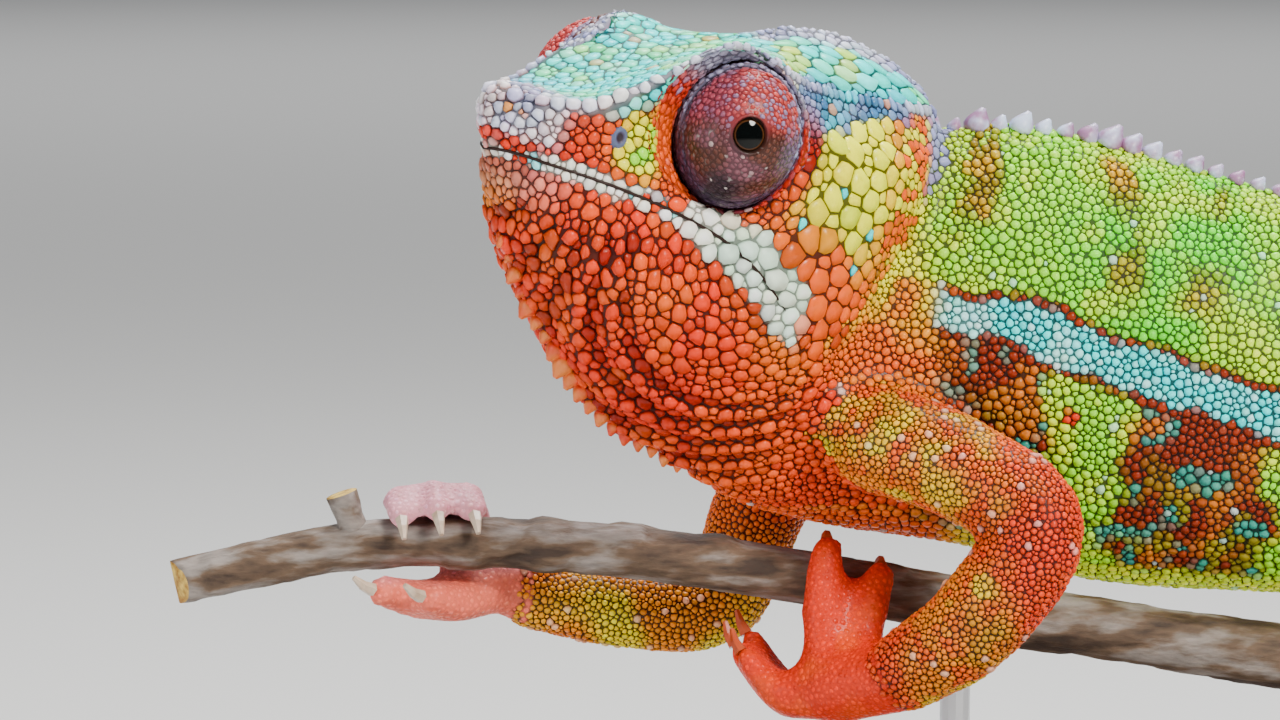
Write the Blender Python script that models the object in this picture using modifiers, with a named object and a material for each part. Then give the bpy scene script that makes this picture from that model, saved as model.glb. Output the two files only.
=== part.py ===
"""Male panther chameleon gripping a cut branch, as a still, life-size museum model.

The flesh is modelled whole: closed lofts for the skull, throat, trunk, tail, limbs and toes
are fused into one surface, which is then parted with thin cuts into named sub-parts. The eye
turrets, eyes, claws, branch and stand are pieces of their own. Sizes below are millimetres;
meshes are written in metres, +Z up, with the tail toward +X, the animal's left side toward
-Y and the origin at the middle of the stand's underside.
"""
import math

import bmesh
import bpy
import numpy as np
from mathutils import Matrix, Vector
from mathutils.bvhtree import BVHTree

MM = 0.001
GAP = 0.32            # clearance between neighbouring solids
VOXEL = 0.62          # cell of the fused flesh surface
FLESH_TRIANGLES = 3060    # of the fused flesh, before it is parted
MERGE = 0.26          # flesh vertices closer than this are joined
SLIVER_VOLUME = 0.5   # cuttings below this many cubic millimetres are dropped

# ---- Head: its own frame is forward, left and up, centred between the eyes.
HEAD_CENTRE = (-65.5, -15.0, 134.9)
HEAD_YAW, HEAD_PITCH, HEAD_ROLL = 36.5, 20.0, 8.0
TURRET_RADIUS = 7.7
TURRET_HEIGHT = 7.0
PUPIL_RADIUS = 1.55

# Cranium, snout to casque tip: forward, crest out, crest up, roof up, cheek out, cheek up,
# lip out, lip up.
CRANIUM = [
    (20.4, 1.2, -5.5, -5.0, 1.5, -6.2, 1.0, -7.2),
    (19.6, 2.6, -4.9, -4.3, 3.0, -6.6, 1.4, -9.0),
    (18.5, 4.2, -4.6, -4.0, 4.4, -6.8, 2.0, -10.4),
    (17.2, 5.8, -4.4, -3.8, 6.0, -7.0, 3.4, -10.7),
    (15.6, 6.9, -4.0, -3.5, 7.1, -7.0, 5.8, -10.6),
    (13.6, 8.0, -2.9, -3.1, 7.9, -6.8, 7.4, -10.3),
    (10.8, 9.2, -0.3, -1.9, 8.5, -5.6, 8.9, -9.9),
    (6.8, 10.3, 4.0, 1.0, 8.6, -3.5, 10.1, -9.9),
    (2.0, 11.0, 8.3, 4.4, 8.9, -2.0, 11.1, -10.5),
    (-4.0, 10.6, 8.2, 8.4, 9.4, -1.5, 12.3, -11.7),
    (-10.0, 10.0, 6.4, 11.4, 12.0, -2.0, 13.1, -13.4),
    (-17.0, 9.4, 5.5, 13.3, 13.0, -2.0, 13.2, -16.5),
    (-24.0, 8.0, 7.2, 13.2, 11.8, -1.0, 11.5, -17.0),
    (-29.5, 5.2, 9.0, 12.1, 8.6, 0.5, 8.0, -13.0),
    (-33.0, 2.2, 9.8, 10.9, 2.8, 7.6, 2.0, 6.0),
]
# Lower jaw and throat pouch: forward, lip out, lip up, pouch out, pouch up, keel up.
THROAT = [
    (17.9, 0.9, -11.2, 0.8, -11.8, -12.3),
    (17.0, 3.0, -11.3, 2.8, -12.2, -13.2),
    (15.8, 5.0, -11.2, 4.2, -13.0, -14.6),
    (14.0, 6.7, -11.0, 5.4, -14.0, -16.9),
    (11.6, 8.2, -10.7, 7.0, -15.4, -20.2),
    (8.4, 9.5, -10.3, 9.0, -17.3, -23.0),
    (3.4, 10.7, -10.6, 10.8, -18.8, -26.8),
    (-3.4, 12.1, -11.7, 12.0, -20.4, -31.0),
    (-10.0, 12.9, -13.6, 12.2, -21.6, -33.2),
    (-18.0, 12.8, -17.2, 11.6, -22.9, -34.5),
    (-26.0, 10.5, -20.0, 10.0, -24.7, -36.0),
]
# The line where the lips meet, from the front to behind the mouth's corner: forward, up.
MOUTH_LINE = [(33.0, -11.2), (19.0, -10.9), (12.0, -10.1), (5.0, -10.1), (-2.0, -11.1),
              (-7.0, -12.4), (-15.5, -15.2), (-34.0, -27.0)]

# ---- Neck and trunk, front to back: x, middle y, top z, belly z, half width.
TRUNK = [
    (-67.0, -8.0, 111.0, 100.0, 6.0),
    (-59.0, -3.5, 118.5, 93.0, 9.6),
    (-51.0, 0.6, 125.0, 89.8, 11.2),
    (-42.0, 3.0, 130.0, 88.0, 11.9),
    (-33.0, 3.2, 131.8, 86.6, 12.1),
    (-20.0, 2.8, 130.2, 83.0, 12.7),
    (-4.0, 2.4, 125.4, 81.9, 13.2),
    (14.0, 2.1, 120.2, 81.2, 12.8),
    (32.0, 2.0, 114.2, 80.6, 11.8),
    (50.0, 2.0, 107.4, 80.2, 10.2),
    (66.0, 2.0, 100.4, 79.6, 8.4),
    (79.0, 2.0, 94.0, 78.4, 6.6),
    (92.0, 2.0, 87.4, 76.8, 5.3),
]
NECK_CUT_NORMAL = (-41.7, -10.4, 30.0)
TAIL_LEAD = [(84.0, 86.0, 6.2), (98.0, 80.9, 4.9), (107.0, 78.6, 4.5)]   # x, z, radius
TAIL_COIL_CENTRE = (114.0, 2.0, 54.0)
TAIL_COIL_RADII = (24.0, 4.4)
TAIL_TURNS = 2.2
TAIL_RADII = (4.2, 0.9)
TAIL_CUTS = (0.16, 0.36, 0.58, 0.8)           # shares of the coil

# ---- Limbs: joint places and radii along the upper and lower segment.
LIMBS = {
    "arm_left": [((-43.5, -9.0, 100.0), 6.0), ((-34.5, -14.5, 97.0), 5.5),
                 ((-27.6, -19.5, 91.8), 5.3), ((-33.8, -17.5, 81.6), 5.2), ((-41.2, -12.5, 75.4), 4.4)],
    "arm_right": [((-50.0, 11.8, 100.0), 5.8), ((-55.2, 13.6, 89.0), 5.3),
                  ((-59.6, 12.2, 79.2), 4.8), ((-70.5, 8.8, 79.0), 4.3), ((-81.0, 6.2, 80.8), 3.4)],
    "leg_left": [((76.0, -1.0, 88.5), 6.0), ((68.5, -11.0, 89.5), 5.5),
                 ((61.0, -18.5, 88.2), 4.8), ((66.0, -13.5, 81.0), 4.5), ((71.4, -8.8, 74.6), 3.4)],
    "leg_right": [((73.0, 5.0, 88.5), 6.0), ((62.5, 14.5, 89.0), 5.5),
                  ((52.0, 21.0, 87.0), 4.8), ((54.4, 15.5, 80.8), 4.5), ((56.6, 10.4, 75.8), 3.4)],
}
SEGMENTS = {"arm_left": ("upper_arm_left", "forearm_left"), "arm_right": ("upper_arm_right", "forearm_right"),
            "leg_left": ("thigh_left", "shin_left"), "leg_right": ("thigh_right", "shin_right")}
# The plane that parts each limb from the trunk: a point, the outward normal, half sizes.
LIMB_ROOTS = {
    "arm_left": ((-39.5, -9.7, 97.0), (0.0, -1.0, 0.0), (13.5, 13.5)),
    "arm_right": ((-51.5, 12.6, 97.0), (-0.42, 0.9, -0.33), (12.0, 12.5)),
    "leg_left": ((70.0, -6.7, 89.0), (0.12, -0.99, 0.0), (12.5, 10.0)),
    "leg_right": ((66.0, 11.0, 88.8), (0.12, 0.99, 0.0), (12.5, 10.0)),
}
# Hands and feet: the palm, then the toes of each bundle from root to tip.
FEET = {
    "hand_left": {
        "palm": [((-43.5, -11.0, 74.6), 4.2), ((-47.4, -8.4, 73.6), 4.4), ((-49.6, -7.0, 73.4), 3.6)],
        "outer": [[(-47.6, -8.0, 74.0), (-48.9, -7.0, 79.0), (-48.9, -5.8, 84.0), (-48.3, -4.7, 87.6)],
                  [(-45.6, -7.2, 74.6), (-44.6, -6.2, 78.6), (-43.7, -5.2, 82.2), (-42.6, -4.2, 84.8)]],
        "inner": [[(-49.0, -8.6, 72.2), (-53.0, -7.2, 72.0), (-56.6, -5.2, 75.8)],
                  [(-49.0, -6.0, 71.6), (-53.0, -4.2, 71.6), (-57.2, -2.0, 76.0)],
                  [(-49.0, -4.4, 72.2), (-52.6, -1.2, 72.2), (-56.0, 1.6, 76.6)]],
        "radius": {"outer": (2.9, 2.2), "inner": (2.5, 1.9)},
    },
    "hand_right": {
        "palm": [((-79.5, 6.4, 81.0), 3.5), ((-83.5, 5.8, 83.0), 3.7), ((-86.0, 5.2, 84.6), 3.3)],
        "outer": [[(-84.5, 5.2, 84.5), (-86.0, 5.2, 90.0), (-86.2, 1.8, 92.2), (-85.6, -1.8, 91.2)],
                  [(-85.5, 5.4, 84.8), (-89.6, 5.0, 90.4), (-90.0, 0.8, 92.7), (-89.4, -2.9, 91.4)],
                  [(-86.5, 5.2, 84.6), (-92.8, 4.4, 90.0), (-93.6, 0.6, 92.0), (-93.2, -2.6, 90.9)]],
        "inner": [[(-84.0, 4.4, 81.6), (-87.2, 0.2, 81.0), (-90.2, -3.8, 82.2)],
                  [(-85.0, 4.2, 81.4), (-91.0, 0.8, 81.2), (-95.2, -3.4, 82.8)]],
        "radius": {"outer": (2.4, 2.1), "inner": (2.9, 2.3)},
    },
    "foot_left": {
        "palm": [((71.6, -8.2, 73.2), 3.5), ((72.2, -6.9, 70.6), 3.7)],
        "outer": [[(69.6, -7.4, 69.2), (68.4, -5.9, 64.6), (67.8, -0.6, 62.5)],
                  [(72.0, -7.6, 68.8), (72.2, -6.2, 64.2), (72.4, -0.8, 62.1)],
                  [(74.4, -7.2, 69.2), (76.2, -5.9, 64.6), (77.0, -0.6, 62.3)]],
        "inner": [[(71.2, -5.4, 73.6), (70.4, -0.4, 75.5), (70.0, 5.0, 72.7)],
                  [(74.0, -5.4, 73.4), (75.2, -0.4, 75.2), (76.0, 4.8, 72.3)]],
        "radius": {"outer": (2.3, 1.7), "inner": (2.2, 1.7)},
    },
    "foot_right": {
        "palm": [((56.6, 9.6, 74.4), 3.5), ((56.2, 7.7, 71.6), 3.7)],
        "outer": [[(53.6, 7.7, 70.2), (52.4, 6.2, 65.6), (51.8, 0.8, 63.8)],
                  [(56.0, 7.9, 69.8), (56.2, 6.4, 65.2), (56.4, 1.0, 63.4)],
                  [(58.4, 7.5, 70.0), (60.2, 6.2, 65.4), (61.0, 0.8, 63.4)]],
        "inner": [[(54.8, 5.4, 74.6), (54.0, 0.6, 76.6), (53.6, -4.6, 74.0)],
                  [(57.6, 5.4, 74.4), (58.6, 0.6, 76.3), (59.4, -4.6, 73.6)]],
        "radius": {"outer": (2.3, 1.7), "inner": (2.2, 1.7)},
    },
}
TOE_SAMPLES, BUNDLE_CUT = 30, 13      # a bundle is parted at this one of its toes' samples
CLAW_LENGTH, CLAW_RADIUS = 2.6, 0.75
CLAW_TAPER = (1.0, 0.78, 0.36)
CLAW_TURN = {("hand_left", "outer"): (0.0, 0.85, 0.5)}     # claws that reach over the branch

# ---- Crests: small cones on the back and down the throat's keel.
CREST_START, CREST_END, CREST_STEP = -30.6, 60.0, 2.45
CREST_HEIGHT, CREST_BASE = 1.75, 1.0
GULAR_FIRST, GULAR_LAST, GULAR_COUNT = 9.0, -17.0, 11
GULAR_HEIGHT, GULAR_BASE = 1.5, 0.85

# ---- Perch: a cut branch with one twig stub, x, z and radius; it lies in the plane y = 0.
PERCH = [(-117.4, 83.3, 2.35), (-99.3, 87.3, 2.6), (-85.0, 87.8, 2.75), (-68.0, 86.5, 2.8),
         (-52.0, 84.1, 2.85), (-30.0, 80.1, 3.1), (0.0, 75.3, 3.5), (40.0, 71.0, 3.9), (90.0, 67.6, 4.2)]
TWIG = [((-98.2, 0.0, 87.5), 1.9), ((-98.8, -0.2, 90.2), 1.5), ((-99.6, -0.3, 92.8), 1.8)]

# ---- Stand: a plain bevelled base and two rods let into the base and the perch.
BASE_LENGTH, BASE_WIDTH, BASE_HEIGHT, BASE_BEVEL = 216.0, 112.0, 13.0, 2.5
ROD_RADIUS = 1.6
ROD_PLACES = {"stand_rod_front": -34.5, "stand_rod_rear": 42.0}
SOCKET_DEPTH = 7.0


# ---------------------------------------------------------------- geometry helpers
def smooth_path(points, count):
    """Catmull-Rom curve through rows of numbers, sampled evenly along its chords."""
    rows = np.array(points, float)
    ends = np.vstack([2 * rows[0] - rows[1], rows, 2 * rows[-1] - rows[-2]])
    chord = np.r_[0, np.cumsum(np.linalg.norm(np.diff(rows[:, :3], axis=0), axis=1))]
    out = []
    for s in np.linspace(0, chord[-1], count):
        i = min(int(np.searchsorted(chord, s, side="right")) - 1, len(rows) - 2)
        t = (s - chord[i]) / (chord[i + 1] - chord[i])
        a, b, c, d = ends[i:i + 4]
        out.append(0.5 * (2 * b + (c - a) * t + (2 * a - 5 * b + 4 * c - d) * t * t
                          + (3 * b - 3 * c + d - a) * t ** 3))
    return np.array(out)


def unit(v):
    v = np.asarray(v, float)
    return v / np.linalg.norm(v)


def tangents(centres):
    return np.array([unit(v) for v in np.gradient(centres, axis=0)])


def loft(rings):
    """Closed solid through rings of equal point counts, with flat ends."""
    rings = [np.asarray(r, float) for r in rings]
    n = len(rings[0])
    verts = np.vstack(rings)
    faces = []
    for k in range(len(rings) - 1):
        for i in range(n):
            j = (i + 1) % n
            faces.append((k * n + i, k * n + j, (k + 1) * n + j, (k + 1) * n + i))
    faces.append(tuple(range(n - 1, -1, -1)))
    faces.append(tuple((len(rings) - 1) * n + i for i in range(n)))
    return verts, faces


def tube(points, radii, sides=14, samples=None, rounded=True):
    """Tapered round tube along a smooth curve, its ends rounded like a toe's."""
    rows = [(*p, r) for p, r in zip(points, radii)]
    path = smooth_path(rows, samples or 5 * len(rows))
    centres, r = path[:, :3], path[:, 3]
    ahead = tangents(centres)
    side = unit(np.cross(ahead[0], (0.13, 0.27, 0.95)))
    rings = []
    for c, t, radius in zip(centres, ahead, r):
        side = unit(side - t * (side @ t))
        up = np.cross(t, side)
        angle = np.linspace(0, 2 * math.pi, sides, endpoint=False)
        rings.append(c + radius * (np.outer(np.cos(angle), side) + np.outer(np.sin(angle), up)))
    if rounded:
        caps = [(0.45, 0.87), (0.85, 0.5)]
        start = [centres[0] - ahead[0] * r[0] * a + (rings[0] - centres[0]) * b for a, b in caps]
        end = [centres[-1] + ahead[-1] * r[-1] * a + (rings[-1] - centres[-1]) * b for a, b in caps]
        rings = start[::-1] + rings + end
    return loft(rings)


def new_object(name, verts, faces, collection):
    mesh = bpy.data.meshes.new(name)
    mesh.from_pydata([tuple(v * MM) for v in np.asarray(verts)], [], faces)
    bm = bmesh.new()
    bm.from_mesh(mesh)
    bmesh.ops.recalc_face_normals(bm, faces=bm.faces)
    bm.to_mesh(mesh)
    bm.free()
    obj = bpy.data.objects.new(name, mesh)
    collection.objects.link(obj)
    return obj


def joined(solids):
    """Several (verts, faces) solids as one."""
    verts, faces, start = [], [], 0
    for v, f in solids:
        verts.append(v)
        faces += [tuple(i + start for i in face) for face in f]
        start += len(v)
    return np.vstack(verts), faces


def cutter(name, verts, faces):
    obj = new_object(name, verts, faces, CUTTERS)
    obj.hide_render = True
    obj.display_type = "WIRE"
    return obj


def boolean(obj, other, operation):
    mod = obj.modifiers.new(other.name, "BOOLEAN")
    mod.operation = operation
    mod.solver = "EXACT"
    mod.object = other


def evaluated_mesh(obj):
    bpy.context.view_layer.update()
    graph = bpy.context.evaluated_depsgraph_get()
    mesh = bpy.data.meshes.new_from_object(obj.evaluated_get(graph))
    return mesh


def slab(name, centre, normal, half_sizes, tall=(0, 0, 1), thickness=GAP):
    """A thin rectangular plate for parting the flesh; its second half size runs along tall."""
    n = unit(normal)
    side = unit(np.cross(tall, n))
    up = np.cross(n, side)
    corners = []
    for a in (-0.5, 0.5):
        for b, c in ((-1, -1), (1, -1), (1, 1), (-1, 1)):
            corners.append(np.asarray(centre) + n * a * thickness + side * b * half_sizes[0]
                           + up * c * half_sizes[1])
    return cutter(name, *loft([corners[:4], corners[4:]]))


def disc(name, centre, normal, radius, thickness=GAP):
    n = unit(normal)
    side = unit(np.cross(n, (0.31, 0.17, 0.94)))
    up = np.cross(n, side)
    angle = np.linspace(0, 2 * math.pi, 20, endpoint=False)
    ring = radius * (np.outer(np.cos(angle), side) + np.outer(np.sin(angle), up))
    return cutter(name, *loft([np.asarray(centre) - n * thickness / 2 + ring,
                               np.asarray(centre) + n * thickness / 2 + ring]))


# ---------------------------------------------------------------- head frame
def head_axes():
    yaw, pitch, roll = (math.radians(a) for a in (HEAD_YAW, HEAD_PITCH, HEAD_ROLL))
    level = np.array((-math.cos(yaw), -math.sin(yaw), 0.0))
    left = np.array((math.sin(yaw), -math.cos(yaw), 0.0))
    forward = level * math.cos(pitch) + np.array((0, 0, math.sin(pitch)))
    up = -level * math.sin(pitch) + np.array((0, 0, math.cos(pitch)))
    return forward, left * math.cos(roll) - up * math.sin(roll), up * math.cos(roll) + left * math.sin(roll)


FORWARD, LEFT, UP = head_axes()


def head_point(f, l, u):
    return np.array(HEAD_CENTRE) + f * FORWARD + l * LEFT + u * UP


def head_ring(f, half):
    """A symmetric ring in the head's frame from (out, up) points running top to bottom."""
    right = [head_point(f, -out, up) for out, up in half[::-1] if out > 0]
    return [head_point(f, out, up) for out, up in half] + right


# ---------------------------------------------------------------- flesh solids
def cranium():
    rings = []
    for f, crest_out, crest_up, roof, cheek_out, cheek_up, lip_out, lip_up in smooth_path(CRANIUM, 34):
        half = [(0, roof), (0.45 * crest_out, 0.72 * roof + 0.28 * crest_up),
                (0.8 * crest_out, 0.25 * roof + 0.75 * crest_up), (crest_out - 0.5, crest_up),
                (crest_out, crest_up - 0.9),
                (0.35 * crest_out + 0.65 * cheek_out, 0.55 * crest_up + 0.45 * cheek_up),
                (cheek_out, cheek_up), (0.45 * cheek_out + 0.55 * lip_out, 0.45 * cheek_up + 0.55 * lip_up),
                (lip_out, lip_up + 0.4), (lip_out - 1.0, lip_up - 0.9), (0, lip_up - 1.4)]
        rings.append(head_ring(f, half))
    return loft(rings)


def throat():
    rings = []
    for f, lip_out, lip_up, pouch_out, pouch_up, keel in smooth_path(THROAT, 30):
        half = [(0, lip_up + 1.0), (lip_out - 0.8, lip_up + 0.6), (lip_out, lip_up - 0.6),
                (0.5 * (lip_out + pouch_out) + 0.15, 0.5 * (lip_up + pouch_up)), (pouch_out, pouch_up),
                (0.74 * pouch_out, 0.56 * pouch_up + 0.44 * keel),
                (0.34 * pouch_out, 0.14 * pouch_up + 0.86 * keel), (0.1 * pouch_out, keel + 0.1), (0, keel)]
        rings.append(head_ring(f, half))
    return loft(rings)


def trunk_ring(x, y, top, belly, half_width, sides=28):
    """An upright leaf-shaped section: widest below the middle, drawn in toward the back."""
    angle = np.linspace(0, 2 * math.pi, sides, endpoint=False)
    height = np.cos(angle)
    narrowing = 1.0 - 0.26 * np.clip(height, 0, 1) ** 1.3 - 0.06 * np.clip(-height, 0, 1)
    z = (top + belly) / 2 + (top - belly) / 2 * height
    return np.column_stack([np.full(sides, x), y + half_width * np.sin(angle) * narrowing, z])


def trunk():
    return loft([trunk_ring(*row) for row in smooth_path(TRUNK, 46)])


def coil_point(share):
    """Place on the tail's coil, from its top (0) to the tip at its middle (1)."""
    cx, cy, cz = TAIL_COIL_CENTRE
    radius = TAIL_COIL_RADII[0] + (TAIL_COIL_RADII[1] - TAIL_COIL_RADII[0]) * share
    angle = math.pi / 2 - 2 * math.pi * TAIL_TURNS * share
    return np.array((cx + radius * math.cos(angle), cy, cz + radius * math.sin(angle)))


def tail():
    points = [(x, TAIL_COIL_CENTRE[1], z) for x, z, _ in TAIL_LEAD]
    radii = [r for *_, r in TAIL_LEAD]
    for share in np.linspace(0, 1, 30):
        points.append(tuple(coil_point(share)))
        radii.append(TAIL_RADII[0] + (TAIL_RADII[1] - TAIL_RADII[0]) * share)
    return tube(points, radii, sides=12, samples=150)


def limb(name):
    points, radii = zip(*LIMBS[name])
    return tube(points, radii, sides=16, samples=26)


def toe_radii(foot, bundle, count):
    first, last = FEET[foot]["radius"][bundle]
    return list(np.linspace(first, last, count))


def foot(name):
    spec = FEET[name]
    points, radii = zip(*spec["palm"])
    solids = [tube(points, radii)]
    for bundle in ("outer", "inner"):
        for toe in spec[bundle]:
            solids.append(tube(toe, toe_radii(name, bundle, len(toe))))
    return solids


def flesh():
    solids = [cranium(), throat(), trunk(), tail()]
    solids += [limb(name) for name in LIMBS]
    for name in FEET:
        solids += foot(name)
    obj = new_object("flesh", *joined(solids), CUTTERS)
    remesh = obj.modifiers.new("fuse", "REMESH")
    remesh.mode = "VOXEL"
    remesh.voxel_size = VOXEL * MM
    soften = obj.modifiers.new("soften", "SMOOTH")
    soften.factor = 0.5
    soften.iterations = 4
    fused = evaluated_mesh(obj)
    triangles = sum(len(p.vertices) - 2 for p in fused.polygons)
    thin = obj.modifiers.new("thin", "DECIMATE")
    thin.ratio = FLESH_TRIANGLES / triangles
    thin.use_collapse_triangulate = True
    mesh = evaluated_mesh(obj)
    bpy.data.objects.remove(obj)
    return bpy.data.objects.new("flesh", mesh)


# ---------------------------------------------------------------- crests
def spike(root, direction, height, base, along):
    """A four-sided cone sunk one base width into the skin."""
    d, a = unit(direction), unit(along)
    side = np.cross(d, a)
    foot_ring = [root - d * base * 0.8 + base * (a * math.cos(t) + side * math.sin(t))
                 for t in (0, math.pi / 2, math.pi, 3 * math.pi / 2)]
    verts = np.array(foot_ring + [root + d * height])
    faces = [(3, 2, 1, 0)] + [(i, (i + 1) % 4, 4) for i in range(4)]
    return verts, faces


def dorsal_crest():
    rows = smooth_path(TRUNK, 400)
    solids = []
    for x in np.arange(CREST_START, CREST_END, CREST_STEP):
        y, top = (np.interp(x, rows[:, 0], rows[:, k]) for k in (1, 2))
        slope = (np.interp(x + 1, rows[:, 0], rows[:, 2]) - np.interp(x - 1, rows[:, 0], rows[:, 2])) / 2
        along = unit((1, 0, slope))
        size = 1.0 - 0.45 * (x - CREST_START) / (CREST_END - CREST_START)
        out = unit(np.cross(along, (0, -1, 0)) + 0.25 * along)
        solids.append(spike(np.array((x, y, top - 0.35)), out, (CREST_HEIGHT + 0.35) * size,
                            CREST_BASE * size, along))
    return joined(solids)


def gular_crest():
    rows = smooth_path(THROAT, 300)[::-1]
    solids = []
    for f in np.linspace(GULAR_FIRST, GULAR_LAST, GULAR_COUNT):
        keel = np.interp(f, rows[:, 0], rows[:, 5])
        slope = (np.interp(f + 1, rows[:, 0], rows[:, 5]) - np.interp(f - 1, rows[:, 0], rows[:, 5])) / 2
        along = unit(FORWARD + UP * slope)
        out = unit(np.cross(along, LEFT))
        out = out if out @ UP < 0 else -out
        solids.append(spike(head_point(f, 0, keel + 0.5), out + 0.2 * along, GULAR_HEIGHT + 0.5,
                            GULAR_BASE, along))
    return joined(solids)


# ---------------------------------------------------------------- eyes
def turned(name, profile, steps, collection):
    """A solid turned about local Z from (radius, height) points, top to bottom."""
    mesh = bpy.data.meshes.new(name)
    mesh.from_pydata([(r * MM, 0, z * MM) for r, z in profile], [(i, i + 1) for i in range(len(profile) - 1)], [])
    obj = bpy.data.objects.new(name, mesh)
    collection.objects.link(obj)
    screw = obj.modifiers.new("turn", "SCREW")
    screw.axis = "Z"
    screw.steps = screw.render_steps = steps
    screw.use_merge_vertices = True
    screw.merge_threshold = 1e-5
    return obj


def eye_axis(side):
    """Base centre and looking direction of an eye; the right eye looks further ahead."""
    base = head_point(-1.2, 9.4, -0.6) if side == "left" else head_point(0.9, -10.9, -0.7)
    look = 0.07 * FORWARD + LEFT if side == "left" else 0.3 * FORWARD - LEFT + 0.08 * UP
    return base, unit(look)


def placed(base, direction, obj):
    turn = Vector((0, 0, 1)).rotation_difference(Vector(direction)).to_matrix().to_4x4()
    obj.matrix_world = Matrix.Translation(Vector(base) * MM) @ turn
    return obj


def turret_profile(extra=0.0):
    """Dome of an eye turret, widened by extra for its orbit."""
    r, h = TURRET_RADIUS + extra, TURRET_HEIGHT + extra
    dome = [(r * math.sin(t) ** 0.92, h * math.cos(t)) for t in np.linspace(0.0, math.pi / 2, 8)]
    return dome, r


def eye_turret(side):
    dome, r = turret_profile()
    rim = PUPIL_RADIUS + 0.55
    wall = [(x, z) for x, z in dome if x > rim + 0.3]
    pit = [(0.0, TURRET_HEIGHT - 2.0), (PUPIL_RADIUS + GAP, TURRET_HEIGHT - 2.0), (rim, TURRET_HEIGHT - 0.15)]
    profile = pit + wall + [(r * 0.72, -1.8), (0.0, -2.0)]
    return placed(*eye_axis(side), turned("eye_turret_" + side, profile, 18, PARTS))


def eye(side):
    """The little of the eyeball that the turret's opening shows."""
    top, floor = TURRET_HEIGHT - 0.45, TURRET_HEIGHT - 2.0 + GAP
    profile = [(0.0, top), (0.6 * PUPIL_RADIUS, top - 0.18), (PUPIL_RADIUS - 0.1, top - 0.6),
               (PUPIL_RADIUS - 0.1, floor), (0.0, floor)]
    return placed(*eye_axis(side), turned("eye_" + side, profile, 12, PARTS))


def orbit(side):
    dome, r = turret_profile(GAP)
    profile = dome + [(r * 0.72, -1.8 - GAP), (0.0, -2.0 - GAP)]
    obj = placed(*eye_axis(side), turned("orbit_" + side, profile, 18, CUTTERS))
    obj.hide_render = True
    obj.display_type = "WIRE"
    return obj


# ---------------------------------------------------------------- claws
def claw_solid(tip, ahead, belly):
    """A short hooked cone that starts just off a toe's flattened tip; belly is the way it bends."""
    steps = (0.0, 0.45, 1.0)
    centres = [tip + ahead * (GAP + CLAW_LENGTH * s) + belly * 0.36 * CLAW_LENGTH * s * s for s in steps]
    return tube(centres, [CLAW_RADIUS * taper for taper in CLAW_TAPER], sides=6, samples=3, rounded=False)


def toe_end(tip, ahead):
    """What is taken off a toe's round tip to leave the flat that the claw grows from."""
    return tube([tip, tip + 3.0 * ahead], [2.6, 2.6], sides=8, samples=2, rounded=False)


def claws():
    """Every claw: its name, the toe tip's place, the way ahead and the way it bends."""
    for name, spec in FEET.items():
        for bundle in ("outer", "inner"):
            for k, toe in enumerate(spec[bundle], 1):
                toe = np.array(toe)
                radius = spec["radius"][bundle][1]
                ahead = unit(np.array(CLAW_TURN.get((name, bundle), toe[-1] - toe[-2])))
                perch = np.array((toe[-1][0], 0, np.interp(toe[-1][0], PERCH_X, PERCH_Z)))
                belly = perch - toe[-1]
                belly = unit(belly - ahead * (belly @ ahead))
                yield f"claw_{name}_{bundle}_{k}", toe[-1] + ahead * radius * 0.45, ahead, belly


# ---------------------------------------------------------------- perch and stand
PERCH_X = [row[0] for row in PERCH]
PERCH_Z = [row[1] for row in PERCH]


def perch_solid(extra=0.0):
    points = [(x, 0, z) for x, z, _ in PERCH]
    return tube(points, [r + extra for *_, r in PERCH], sides=9, samples=19, rounded=False)


def rod_ends(x):
    """Lowest and highest z of a rod that stands at x."""
    z = np.interp(x, PERCH_X, PERCH_Z)
    return BASE_HEIGHT - SOCKET_DEPTH + GAP, z + 0.4


def upright(name, x, low, high, radius, collection, sides=12):
    angle = np.linspace(0, 2 * math.pi, sides, endpoint=False)
    ring = np.column_stack([x + radius * np.cos(angle), radius * np.sin(angle)])
    rings = [np.column_stack([ring, np.full(sides, z)]) for z in (low, high)]
    return new_object(name, *loft(rings), collection)


def perch():
    points, radii = zip(*TWIG)
    obj = new_object("perch", *perch_solid(), PARTS)
    twig = cutter("twig_stub", *tube(points, radii, sides=8, samples=6, rounded=False))
    boolean(obj, twig, "UNION")
    for name, x in ROD_PLACES.items():
        low, high = rod_ends(x)
        hole = upright("hole_" + name, x, low, high + GAP, ROD_RADIUS + GAP, CUTTERS)
        hole.hide_render = True
        hole.display_type = "WIRE"
        boolean(obj, hole, "DIFFERENCE")
    return obj


def stand_base():
    half = (BASE_LENGTH / 2, BASE_WIDTH / 2)
    corners = [(-1, -1), (1, -1), (1, 1), (-1, 1)]
    rings = [[(a * half[0], b * half[1], z) for a, b in corners] for z in (0.0, BASE_HEIGHT)]
    obj = new_object("stand_base", *loft(rings), PARTS)
    bevel = obj.modifiers.new("edges", "BEVEL")
    bevel.width = BASE_BEVEL * MM
    bevel.segments = 2
    for name, x in ROD_PLACES.items():
        well = upright("well_" + name, x, BASE_HEIGHT - SOCKET_DEPTH, BASE_HEIGHT + 5, ROD_RADIUS + GAP, CUTTERS)
        well.hide_render = True
        well.display_type = "WIRE"
        boolean(obj, well, "DIFFERENCE")
    return obj


def stand_rods():
    return [upright(name, x, *rod_ends(x), ROD_RADIUS, PARTS) for name, x in ROD_PLACES.items()]


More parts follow.
